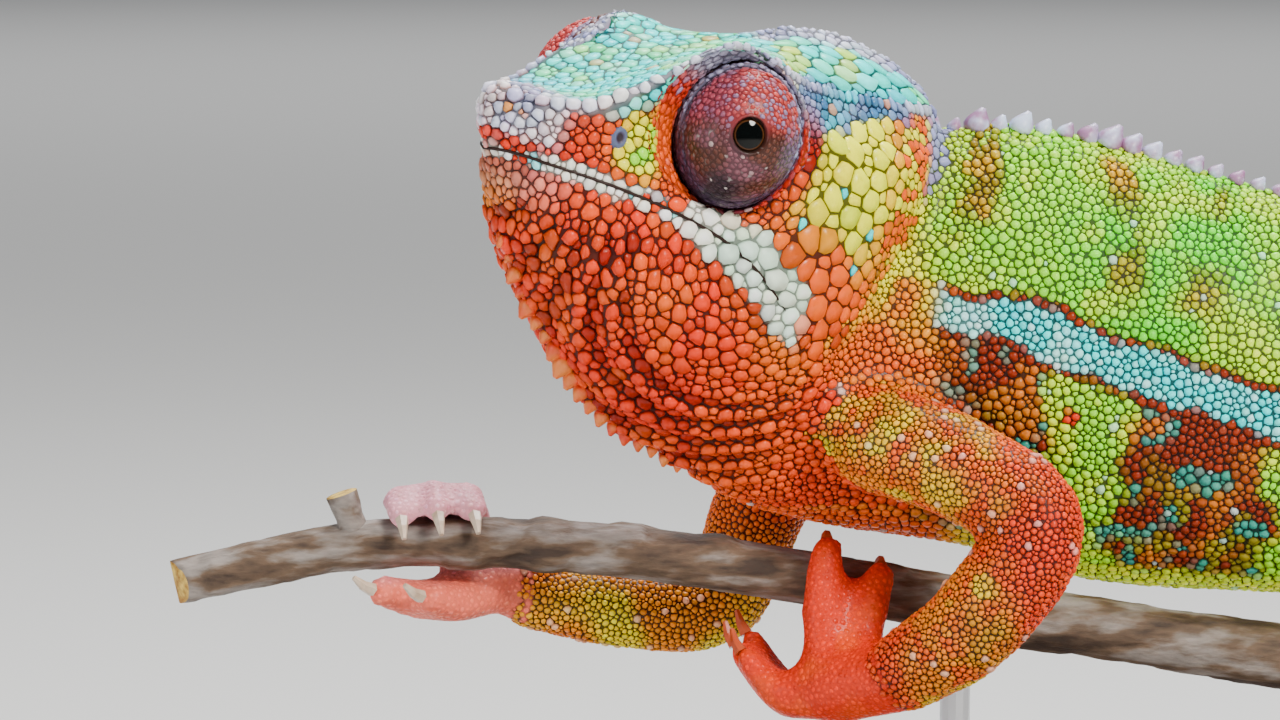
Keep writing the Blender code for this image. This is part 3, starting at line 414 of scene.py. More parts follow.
def head_colours(places):
    ahead, out, up, ridge, inside, below_ridge, over_roof, lip = head_measures(places)
    off, _ = off_eye(places)
    fine, soft, broad = grain(places, 1.3, 3), grain(places, 2.6, 1), grain(places, 6.0, 2)
    # Cheeks and lores.
    c = ORANGE
    c = blend(c, YELLOW, band(ahead, -22.5, -6, 2) * ease(-8.2, -4.4, up - 0.25 * (ahead + 12) + 3.5 * (soft - 0.5)))
    c = blend(c, SUN, 0.5 * ease(0.62, 0.8, fine) * (ahead < -8) * ease(-6, -4, up))
    c = blend(c, AMBER, 0.8 * ease(0.60, 0.75, broad) * (ahead < -4) * (0.35 + 0.65 * ease(-3, -7, up)))
    c = blend(c, YELLOW, 0.75 * ease(-22, -24, ahead) * ease(0.42, 0.6, fine) * ease(-10, -4, up))
    c = blend(c, RUST, 0.5 * ease(0.68, 0.8, soft) * (ahead < -4) * ease(-4, -7, up))
    c = blend(c, SCARLET, ease(9.5, 13, ahead) * 0.75 + ease(-7.0, -9.5, up) * (ahead > -2) * 0.6)
    c = blend(c, YELLOW, band(ahead, 4.8, 9.4, 0.8) * band(up, -8.2, -1.8, 0.8))
    c = blend(c, LIME, band(ahead, 5.4, 8.2, 0.6) * band(up, -7.4, -2.8, 0.8) * ease(0.42, 0.55, fine))
    c = blend(c, AMBER, band(ahead, 5.5, 9.5, 1) * band(up, -2.6, -0.2, 0.6) * 0.9)
    c = blend(c, CYAN, band(ahead, 6.5, 11.5, 1) * band(below_ridge, 0.6, 2.2, 0.4) * ease(0.4, 0.6, soft) * 0.8)
    for spot in CHEEK_FLECKS:
        c = blend(c, CYAN, 1 - ease(0.3, 0.5, np.hypot(ahead - spot[0], up - spot[1])))
    # Casque side, behind the eye and under the ridge.
    side_line = up + 0.40 * (ahead + 10) - 1.6 + 1.8 * (soft - 0.5)
    side_tone = blend(SLATE, LAVENDER, ease(0.45, 0.7, soft) * 0.5)
    side_tone = blend(side_tone, CYAN, 0.8 * ease(0.50, 0.65, grain(places, 3.4, 6)) * band(side_line, 0.6, 4.5, 0.8))
    side_tone = blend(side_tone, AMBER, 0.7 * ease(0.72, 0.84, grain(places, 2.2, 7)) * (side_line < 2.4))
    c = blend(c, side_tone, ease(-7, -8.5, ahead) * ease(-0.3, 0.7, side_line))
    # The crown, between the ridges.
    on_crown = ease(0.1, 0.9, inside) * np.maximum(ease(-2.2, -1.0, over_roof),
                                                   ease(-6, -8, ahead) * ease(0.2, -0.4, below_ridge))
    crown_tone = blend(TURQUOISE, MINT, ease(0.38, 0.6, soft))
    crown_tone = blend(crown_tone, CYAN, ease(0.48, 0.66, fine) * 0.8)
    crown_tone = blend(crown_tone, SUN, 0.75 * ease(0.55, 0.7, grain(places, 3.0, 5)) * (0.4 + 0.6 * (ahead < -8)))
    crown_tone = blend(crown_tone, LAVENDER, ease(11, 15.5, ahead) * 0.85)
    c = blend(c, crown_tone, on_crown)
    # Skin round the turret.
    ring = (1 - ease(9.0, 10.2, off)) * ease(0.4, -0.4, inside) * ease(-0.2, 0.8, below_ridge)
    ring_tone = blend(BLOOD, LAVENDER, ease(1, 6, up))
    ring_tone = blend(ring_tone, ORANGE, 0.7 * ease(-2, -7, ahead) * ease(0, -4, up))
    c = blend(c, ring_tone, ring * (lip > 1.6))
    # Pearl ridges, the casque's keel and the knobbly snout.
    keel = (1 - ease(1.3, 2.0, out)) * ease(-6, -8, ahead) * ease(6, 8, up)
    pearly = np.maximum(1 - ease(0.9, 1.5, ridge), keel)
    pearly = np.maximum(pearly, ease(14.4, 15.8, ahead + 0.5 * (soft - 0.5)) * ease(-9.4, -8.4, up))
    pearl_tone = blend(PEARL, LAVENDER, ease(0.35, 0.7, soft) * 0.8)
    pearl_tone = blend(pearl_tone, LAVENDER, 0.4 * ease(6, -6, ahead))
    pearl_tone = blend(pearl_tone, CREAM, ease(9, 15, ahead) * 0.5 * ease(0.35, 0.6, fine))
    c = blend(c, pearl_tone, pearly)
    c = blend(c, LAVENDER, ease(-28.5, -30.5, ahead) * ease(-1, 2, up))
    for spot in ((18.9, 2.0, -6.4), (18.0, 3.6, -6.5)):
        off_spot = np.linalg.norm(np.column_stack([ahead, out, up]) - spot, axis=1)
        c = blend(c, AMBER, 0.9 * (1 - ease(0.4, 0.8, off_spot)))
    # Upper lip: red in front, then white plates that widen to the corner of the mouth.
    depth = np.interp(ahead, (-17, -13, -6.7, -0.6, 2.5, 8, 14), (3.6, 4.1, 2.9, 1.9, 0.9, 1.0, 0.6))
    depth = depth + 0.7 * (soft - 0.5)
    white = (1 - ease(-0.2, 0.2, lip - depth)) * ease(-17.4, -16.6, ahead + 0.8 * (soft - 0.5)) * (lip > -3)
    patchy = np.where(ahead > -0.5, ease(0.36, 0.42, grain(places, 1.5, 8)), 1)
    white_tone = blend(MILK, JADE, ease(0, -6, ahead) * 0.8)
    white_tone = blend(white_tone, CYAN, 0.7 * ease(0.6, 0.7, fine) * (ahead > -3))
    return blend(c, white_tone, white * patchy)


def throat_colours(places):
    ahead, _, up = in_head(places).T
    soft, broad = grain(places, 2.4, 11), grain(places, 7.0, 12)
    c = blend(SCARLET, ORANGE, ease(0.3, 0.75, soft) * 0.75)
    c = blend(c, AMBER, 0.75 * ease(0.45, 0.75, broad) * ease(-26, -17, up))
    c = blend(c, CREAM, 0.30 * ease(11, 15, ahead) * ease(-16, -12.5, up))
    c = blend(c, ORANGE, 0.7 * ease(-14, -20, ahead) * ease(-22, -28, up))
    # Painted shade: the pleats' creases are darkened towards deep red.
    c = blend(c, BLOOD * 0.6, 0.75 * ease(-0.1, -0.9, pleats(ahead, up)))
    lip = np.interp(ahead, MOUTH[:, 0], MOUTH[:, 1]) - up
    depth = np.interp(ahead, (-17, -14, -9, -5, -1, 0.5, 10, 16), (1.7, 2.3, 2.4, 2.3, 2.1, 0.9, 1.1, 0.8))
    depth = depth + 0.7 * (soft - 0.5)
    c = blend(c, BLOOD, 0.7 * (1 - ease(0.5, 3.0, lip - depth)) * (ahead > -14) * ease(0.3, 0.6, broad))
    white = (1 - ease(-0.2, 0.2, lip - depth)) * ease(-17.6, -16.6, ahead)
    white = white * np.where(ahead > 0, ease(0.22, 0.28, grain(places, 1.5, 9)), 1)
    return blend(c, blend(MILK, JADE, 0.6 * ease(2, -5, ahead)), white)


def trunk_colours(places):
    x, y, z = places.T
    soft, broad, fine = grain(places, 3.2, 21), grain(places, 8.0, 22), grain(places, 1.6, 23)
    ragged = 1.5 * (soft - 0.5) + 0.8 * (fine - 0.5)
    stripe_z = np.interp(x, STRIPE_LINE[:, 0], STRIPE_LINE[:, 1])
    above = z - stripe_z + ragged
    c = blend(LIME, LEAF, ease(0.55, 0.8, broad) * 0.8)
    c = blend(c, SUN, ease(0.5, 0.8, soft) * 0.6)
    # Flank under the stripe: rust and brown with lime patches and teal flecks.
    lower = 1 - ease(-1.5, 0, above)
    patch = ease(0.0, 0.5, np.sin((x + 27.5) * 2 * math.pi / 23.0) + 1.3 * (broad - 0.5) + 0.6 * (fine - 0.5) - 0.15)
    flank = blend(RUST, AMBER, ease(0.5, 0.8, soft) * 0.55)
    flank = blend(flank, OLIVE, 0.8 * ease(0.45, 0.65, fine) * ease(-6, -14, above))
    flank = blend(flank, TEAL, ease(0.68, 0.78, grain(places, 1.9, 25)) * 0.9)
    flank = blend(flank, blend(LIME, SUN, ease(0.4, 0.7, soft) * 0.7), patch)
    c = blend(c, flank, lower)
    # Bars from the crest down to the stripe.
    for centre, half in BARS:
        leaning = x - centre - 0.06 * (z - 120) + 1.4 * ragged
        amount = (1 - ease(half - 0.4, half + 1.3, np.abs(leaning))) * ease(6.5, 10, above + 2 * (soft - 0.5))
        bar_tone = blend(RUST, AMBER, ease(0.35, 0.65, fine) * 0.8)
        bar_tone = blend(bar_tone, OLIVE, ease(0.4, 0.7, broad) * 0.6)
        c = blend(c, bar_tone, 0.8 * amount * ease(0.28, 0.62, grain(places, 4.2, 27)))
    half_width = np.interp(x, (-44, -36, -24, 0, 50, 84), (0.8, 1.7, 2.4, 2.3, 1.9, 0.9))
    edge = np.abs(above) - half_width
    c = blend(c, RUST, (1 - ease(0.5, 1.5, edge)) * ease(-46, -42, x))
    c = blend(c, blend(STRIPE, MILK, 0.35 * ease(0.5, 0.8, soft) * ease(10, -20, x)),
              (1 - ease(-0.25, 0.25, edge)) * ease(-45, -43, x))
    # Belly line, red spot, and painted shade in the pocket behind the arm, with a teal streak in it.
    belly_z = np.interp(x, (-59, -51, -42, -33, -20, -4, 32, 66, 92),
                        (93, 89.8, 88, 86.6, 83, 81.9, 80.6, 79.6, 76.8))
    c = blend(c, blend(SUN, ORANGE, ease(-30, -38, x)), 1 - ease(1.8, 3.2, z - belly_z + ragged))
    c = blend(c, ORANGE, 0.9 * ease(-36, -41, x) * ease(96, 92, z))
    c = blend(c, SCARLET, (1 - ease(0.7, 1.2, np.hypot(x + 23.3, z - 101.8))) * (y < 0))
    shaded_pocket = (1 - ease(2.0, 5.0, np.hypot((x + 38.5) * 0.9, z - 105.5))) * (y < 0)
    c = blend(c, RUST * 0.35, shaded_pocket * 0.85)
    streak = 1 - ease(0.5, 1.1, np.abs((z - 106.5) + 0.75 * (x + 38)))
    return blend(c, TEAL, streak * shaded_pocket)


def neck_colours(places):
    x, y, z = places.T
    soft, broad = grain(places, 2.6, 31), grain(places, 6.0, 32)
    c = blend(YELLOW, ORANGE, ease(0.42, 0.7, soft) * 0.8)
    c = blend(c, ORANGE, ease(118, 108, z + 4 * (broad - 0.5)) * 0.85)
    c = blend(c, SCARLET, ease(108, 98, z + 4 * (broad - 0.5)) * 0.8)
    c = blend(c, LIME, 0.7 * ease(-41, -37.5, x + 3 * (soft - 0.5)) * ease(114, 120, z))
    from_the_side = places[:, [0, 2]]
    # Painted shade: a dark line along a fold of the neck's skin.
    fold_shade_line = np.array([(-38.0, 128.0), (-38.8, 126.0), (-41.2, 121.5), (-44.6, 116.4)])
    c = blend(c, RUST * 0.4, 0.85 * (1 - ease(0.35, 1.1, line_distance(from_the_side, fold_shade_line))))
    shed_line = np.array([(-56.4, 108.2), (-53.5, 107.8), (-50.2, 109.2)])
    shed = np.minimum(line_distance(from_the_side, shed_line),
                      np.linalg.norm(from_the_side - (-47.8, 105.0), axis=1) - 0.4)
    return blend(c, CREAM, 0.8 * (1 - ease(0.3, 0.7, shed)) * (y < 0))


def arm_colours(places, left):
    x, _, z = places.T
    soft, broad, fine = grain(places, 2.6, 41), grain(places, 5.0, 42), grain(places, 1.3, 43)
    near = blend(ORANGE, AMBER, ease(0.3, 0.6, fine) * 0.8)
    near = blend(near, YELLOW, ease(0.6, 0.8, soft) * 0.5)
    near = blend(near, SUN, 0.3 * ease(-38, -42, x) * ease(97, 100, z) * ease(0.3, 0.7, fine))
    near = blend(near, RUST, 0.4 * ease(0.5, 0.75, broad) * ease(97, 102, z))
    near = blend(near, SCARLET, 0.85 * ease(-33, -28.5, x + 3 * (soft - 0.5)))
    near = blend(near, SCARLET, 0.7 * (1 - ease(92, 96, z)) * ease(-42, -34, x) * ease(86, 90, z))
    near = blend(near, OLIVE, 0.4 * (1 - ease(2.0, 4.5, np.hypot(x + 32.5, z - 80.5) + 2 * (soft - 0.5))))
    near = blend(near, SCARLET, ease(-38, -42.5, x) * ease(84, 80, z) * 0.8)
    far = blend(AMBER, YELLOW, ease(0.4, 0.7, broad) * 0.6)
    far = blend(far, ORANGE, ease(84, 90, z) * 0.8)
    far = blend(far, SCARLET, ease(-72, -79, x) * 0.45)
    return np.where(left[:, None], near, far)


def hand_colours(places, left):
    near = blend(SCARLET, ORANGE, ease(0.5, 0.8, grain(places, 2.6, 51)) * 0.35)
    far = blend(PINK, ORANGE, ease(86, 83, places[:, 2]) * 0.75 + 0.05)
    return np.where(left[:, None], near, far)


def leg_colours(places):
    c = blend(LIME, YELLOW, ease(0.4, 0.7, grain(places, 2.8, 61)) * 0.7)
    c = blend(c, RUST, ease(0.42, 0.62, grain(places, 5.5, 62)) * 0.85)
    return blend(c, ORANGE, ease(82, 74, places[:, 2]) * 0.8)


def tail_colours(places):
    x, _, z = places.T
    soft = grain(places, 2.6, 71)
    turn = np.arctan2(z - 54, x - 114)
    along = np.where((x < 100) & (z > 66), (x - 100) / 9.0, (math.pi / 2 - turn) * 2.4)
    wave = np.sin(along * 2.6 + 1.2 * (soft - 0.5))
    c = blend(LIME, LEAF, ease(0.4, 0.7, soft))
    c = blend(c, RUST, ease(0.1, 0.6, wave) * 0.9)
    c = blend(c, STRIPE, 0.7 * ease(-0.5, -0.8, wave) * ease(0.4, 0.6, soft))
    return blend(c, SUN, 0.5 * ease(0.6, 0.8, grain(places, 1.6, 73)))


def markings(places, region, left):
    """The hide's colour at each place; skin and scales both take theirs from here."""
    colours = np.zeros((len(places), 3))
    makers = {"head": head_colours, "throat": throat_colours, "trunk": trunk_colours, "neck": neck_colours,
              "leg": leg_colours, "foot": leg_colours, "tail": tail_colours, "arm": arm_colours, "hand": hand_colours}
    for name, maker in makers.items():
        mine = region == name
        if mine.any():
            sided = (left[mine],) if name in ("arm", "hand") else ()
            colours[mine] = maker(places[mine], *sided)
    # The trunk's and neck's colours run into each other and onto the shoulder.
    near_neck = (region == "trunk") & (places[:, 0] < -30)
    if near_neck.any():
        spots = places[near_neck]
        share = 1 - ease(-40, -35, spots[:, 0] + 0.15 * (spots[:, 2] - 118) + 4 * (grain(spots, 3.0, 81) - 0.5))
        colours[near_neck] = blend(colours[near_neck], neck_colours(spots), share * (spots[:, 2] > 92))
    return np.clip(colours, 0, 1)


hide_region, hide_left = regions(hide_places)


def node_group(name, kind, inputs, outputs):
    """A node group with named sockets: the tree, what it is given, and the node that takes its result."""
    tree = bpy.data.node_groups.new(name, kind)
    for label, (socket, value) in inputs.items():
        made = tree.interface.new_socket(label, in_out="INPUT", socket_type="NodeSocket" + socket)
        if value is not None:
            made.default_value = value
    for label, socket in outputs.items():
        tree.interface.new_socket(label, in_out="OUTPUT", socket_type="NodeSocket" + socket)
    return tree, tree.nodes.new("NodeGroupInput").outputs, tree.nodes.new("NodeGroupOutput")


def maths(tree, operation, *values):
    return add(tree, "ShaderNodeMath", *values, operation=operation)


# Wet horn over colour: cloudy tint, uneven gloss and a fine pitted surface.
SCALE_FINISH, given, result = node_group(
    "scale_finish", "ShaderNodeTree",
    {"Tint": ("Color", (1, 1, 1, 1)), "Cloud Size": ("Float", 900.0), "Cloud Amount": ("Float", 0.2),
     "Gloss": ("Float", 0.35), "Pit Size": ("Float", 3200.0)},
    {"Colour": "Color", "Roughness": "Float", "Height": "Float"})
where = add(SCALE_FINISH, "ShaderNodeTexCoord", output="Object")
cloud = add(SCALE_FINISH, "ShaderNodeTexNoise", output="Fac", Vector=where, Scale=given["Cloud Size"], Detail=3)
cloud = maths(SCALE_FINISH, "SUBTRACT", cloud, 0.5)
cloud_share = maths(SCALE_FINISH, "MULTIPLY_ADD", cloud, given["Cloud Amount"], 1.0)
feed(SCALE_FINISH, result,
     Colour=add(SCALE_FINISH, "ShaderNodeVectorMath", given["Tint"], operation="SCALE", Scale=cloud_share),
     Roughness=maths(SCALE_FINISH, "MULTIPLY_ADD", cloud, 0.35, given["Gloss"]),
     Height=add(SCALE_FINISH, "ShaderNodeTexNoise", output="Fac", Vector=where, Scale=given["Pit Size"], Detail=2))


def hide_material(name, cloud_size, cloud_amount, gloss, pit_size, pit_depth):
    """A finish for skin or scales that takes its colour from the piece's own tint."""
    made, tree, shader = new_material(name)
    tint = add(tree, "ShaderNodeAttribute", output="Color", attribute_name="tint")
    finish = tree.nodes.new("ShaderNodeGroup")
    feed(tree, finish, node_tree=SCALE_FINISH, Tint=tint, Cloud_Size=cloud_size, Cloud_Amount=cloud_amount,
         Gloss=gloss, Pit_Size=pit_size)
    bump = add(tree, "ShaderNodeBump", Strength=0.5, Distance=pit_depth * MM, Height=finish.outputs["Height"])
    feed(tree, shader, Base_Color=finish.outputs["Colour"], Roughness=finish.outputs["Roughness"], Normal=bump,
         Coat_Weight=0.05, Coat_Roughness=0.15, Specular_IOR_Level=0.22)
    return made


skin_tint = markings(hide_places, hide_region, hide_left)
grey = 1 - (skin_tint.max(axis=1) - skin_tint.min(axis=1)) / np.maximum(skin_tint.max(axis=1), 1e-6)
shade = np.where(np.isin(hide_region, ("hand", "foot")), 0.85, 0.08 + 0.22 * grey)
skin = mesh_object("skin", hide_places, hide_quads, hide_material("skin_between_scales", 700, 0.3, 0.55, 3000, 0.05),
                   skin_tint * shade[:, None])
bpy.context.view_layer.objects.active = skin
skin.select_set(True)
bpy.ops.object.mode_set(mode="EDIT")
bpy.ops.mesh.select_all(action="SELECT")
bpy.ops.uv.smart_project(angle_limit=math.radians(66), island_margin=0.002)
bpy.ops.object.mode_set(mode="OBJECT")
skin.select_set(False)
skin.data.uv_layers[0].name = "OFBake"
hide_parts(*flesh_names)
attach(skin, "root")


# ---- Scales
# Thousands of separate horny granules and plates, each a closed low dome set in the skin:
# broad plates on cheeks and crown, pearly beads on the ridges, fine grains on limbs and toes.
rng = np.random.default_rng(7)


def unit_rows(rows):
    return rows / np.maximum(np.linalg.norm(rows, axis=1, keepdims=True), 1e-12)


def scale_sizes(places, region):
    """Half width, height, flatness and stretch of the scales at each place, and the stretch's direction."""
    count = len(places)
    size, tall, flat = np.full(count, 0.50), np.full(count, 0.46), np.full(count, 0.3)
    stretch, lie = np.ones(count), np.tile((1.0, 0.0, 0.0), (count, 1))
    ahead, out, up, _, inside, below_ridge, over_roof, lip = head_measures(places)
    off, _ = off_eye(places)

    def put(where, *values):
        for field, value in zip((size, tall, flat, stretch), values):
            field[where] = value[where] if isinstance(value, np.ndarray) else value

    head, throat = region == "head", region == "throat"
    put(head, 0.50, 0.42, 0.6)
    put(head & (ahead < -7) & (up < 0.40 * (-10 - ahead) + 1.5),
        np.interp(ahead, (-25, -20, -12, -8), (0.5, 1.0, 1.15, 0.65)), 0.17, 0.9)
    put(head & (up > 0.40 * (-10 - ahead) + 1.5) & (ahead < -7), 0.50, 0.26, 0.6)
    crown_top = head & (inside > 0.5) & ((over_roof > -1.6) | (ahead < -7) & (below_ridge < 0))
    put(crown_top, np.interp(ahead, (-31, -24, -10, 0, 12, 17), (0.6, 0.78, 0.70, 0.58, 0.56, 0.5)), 0.22, 0.85,
        np.interp(ahead, (-12, -6), (1.6, 1.25)))
    put(crown_top & (out < 1.9) & (ahead < -7), 0.40, 0.6, 0.0)
    put(head & (off < 10.2) & ~crown_top & (lip > 1.4), 0.36, 0.5, 0.3)
    behind_eye = head & (off > 8.3) & (off < 11.5) & (up < 1.0) & (ahead < -4) & (lip > 2)
    put(behind_eye, 0.52, 0.4, 0.6, 1.4)
    put(head & (ahead > 14.2) & (up > -9.3), 0.46, 1.0, 0.0)
    put(head & (lip < 1.0) & (ahead > -3), 0.42, 0.4, 0.5)
    lip_top = np.interp(ahead, (-17, -13, -6.7, -0.6), (3.6, 4.1, 2.9, 1.9))
    white_lip = head & (ahead > -17) & (ahead < -1) & (lip < lip_top)
    put(white_lip, np.interp(ahead, (-17, -15.5, -12, -3, 0), (0.5, 0.75, 1.0, 0.85, 0.6)), 0.24, 0.8, 1.15)
    fade = (1 - 0.22 * ease(12, 17, ahead)) * (1 - 0.3 * ease(-12, -22, ahead))
    put(throat, fade * (0.36 + 0.42 * grain(places, 1.6, 90)), 0.6, 0.1, 1.25)
    put(throat & (-lip < 2.0) & (ahead > -17),
        np.interp(ahead, (-17, -13, -6, 0, 8, 18), (0.5, 0.62, 0.8, 0.7, 0.5, 0.36)), 0.4, 0.6, 1.15)
    put(region == "neck", 0.36, 0.55, 0.2)
    low_flank = ease(108, 100, places[:, 2]) * ease(0.4, 0.7, grain(places, 7, 92))
    put(region == "trunk", 0.34 + 0.12 * grain(places, 3, 91) + 0.10 * low_flank, 0.6, 0.2)
    put(region == "tail", 0.42, 0.45, 0.3)
    put(np.isin(region, ("arm", "leg")), 0.31, 0.55, 0.2)
    put(np.isin(region, ("hand", "foot")), 0.30, 0.07, 0.5)
    lie[head | throat] = AHEAD
    around = unit_rows(np.column_stack([-(up + 12), ahead + 10]))
    lie[throat] = (around[:, :1] * AHEAD + around[:, 1:] * UP)[throat]
    base, look = EYES["left"]
    lie[behind_eye] = unit_rows(np.cross(look, places - base))[behind_eye]
    return size, tall, flat, stretch, lie


def smooth_facing(spots):
    """The nearest places on the hide, and which way it faces there."""
    found = [hide_tree.find_nearest(spot) for spot in np.asarray(spots).tolist()]
    corners = np.array([hide_quads[f[2]] for f in found])
    return np.array([f[0][:] for f in found]), unit_rows(hide_normals[corners].sum(axis=1))


def smoothed(line, passes):
    """A line of places evened out between its ends."""
    for _ in range(passes):
        line[1:-1] = (line[:-2] + line[1:-1] * 2 + line[2:]) / 4
    return line


def from_side(ahead, up, side):
    """The outermost place of the head's side at the given height."""
    start = from_head(ahead, 30 * side, up)
    hit = hide_tree.ray_cast(Vector(start), Vector(-side * LEFT))
    return None if hit[0] is None else np.array(hit[0])


def seed_row(spots, facing, size, tall, flat, stretch, lie):
    """Seeds for a row of scales; a measure given once holds for the whole row."""
    measures = (np.broadcast_to(value, len(spots)) for value in (size, tall, flat, stretch))
    return (spots, facing, *measures, np.broadcast_to(lie, (len(spots), 3)))


def near_tree(spots):
    """A tree that finds which spots lie near a place."""
    tree = KDTree(len(spots))
    for k, spot in enumerate(spots.tolist()):
        tree.insert(spot, k)
    tree.balance()
    return tree


def scale_row(line, ahead_knots, sizes, *likeness):
    """Scales side by side along a line on the head, on both sides where it is off the middle."""
    row = []
    dense = np.concatenate([a + (b - a) * np.linspace(0, 1, 60)[:, None] for a, b in zip(line[:-1], line[1:])])
    for side in ((1, -1) if abs(line[len(line) // 2][1]) > 0.1 else (1,)):
        last, reach = None, 0
        for point, way in zip(dense, np.gradient(dense, axis=0)):
            size = np.interp(point[0], ahead_knots, sizes)
            gone = 1e9 if last is None else np.linalg.norm(point - last)
            if gone >= 0.97 * (size + reach):
                last, reach = point, size
                row.append((from_head(point[0], side * point[1], point[2]), size,
                            way[0] * AHEAD + side * way[1] * LEFT + way[2] * UP))
    spots, facing = smooth_facing([r[0] for r in row])
    return seed_row(spots, facing, [r[1] for r in row], *likeness, unit_rows(np.cross([r[2] for r in row], facing)))


def scatter(places, normals, triangles, sizer, tries, rows=(), bare=None):
    """Seeds over a surface: given rows, then big ones, none closer than their half widths allow."""
    a, b, c = (places[triangles[:, k]] for k in range(3))
    area = np.linalg.norm(np.cross(b - a, c - a), axis=1) / 2
    middle = (a + b + c) / 3
    size = sizer(middle)[0]
    crowd = area / size ** 2
    picked = rng.choice(len(triangles), int(crowd.sum() * tries), p=crowd / crowd.sum())
    r1, r2 = np.sqrt(rng.random(len(picked))), rng.random(len(picked))
    mix = np.column_stack([1 - r1, r1 * (1 - r2), r1 * r2])[:, :, None]
    corners = triangles[picked]
    spots = (places[corners] * mix).sum(axis=1)
    facing = unit_rows((normals[corners] * mix).sum(axis=1))
    size, tall, flat, stretch, lie = sizer(spots)
    size = size * rng.uniform(0.84, 1.18, len(size))
    order = np.argsort(-size * rng.uniform(0.9, 1.0, len(size)))
    if bare is not None:
        order = order[~bare(spots[order])]
    # The same places come round again for small scales, which settle in the gaps that are left.
    size = np.concatenate([size, 0.55 * size])
    order = np.concatenate([order, len(spots) + order[rng.random(len(order)) < 0.7]])
    fields = [np.concatenate([v, v])[order] for v in (spots, facing)] + [size[order]]
    fields += [np.concatenate([v, v])[order] for v in (tall, flat, stretch, lie)]
    spots, facing, size, tall, flat, stretch, lie = (np.concatenate([row[k] for row in rows] + [field])
                                                     for k, field in enumerate(fields))
    tree = near_tree(spots)
    alive, kept = np.ones(len(spots), bool), []
    reach = (size * 2.05).tolist()
    for k, spot in enumerate(spots.tolist()):
        if not alive[k]:
            continue
        kept.append(k)
        near = np.array([found[1] for found in tree.find_range(spot, reach[k] * max(1.0, stretch[k]))])
        near = near[alive[near]]
        offset = spots[near] - spots[k]
        along = offset @ lie[k]
        apart = np.sqrt(np.maximum((offset ** 2).sum(axis=1) - along ** 2 * (1 - stretch[k] ** -2), 0))
        alive[near[(apart < 0.94 * (size[k] + size[near])) & (facing[near] @ facing[k] > 0.1)]] = False
    kept = np.array(kept)
    return tuple(v[kept] for v in (spots, facing, size, tall, flat, stretch, lie))


PATCH = 0.0015           # radius of a scale's patch on the skin's unwrap


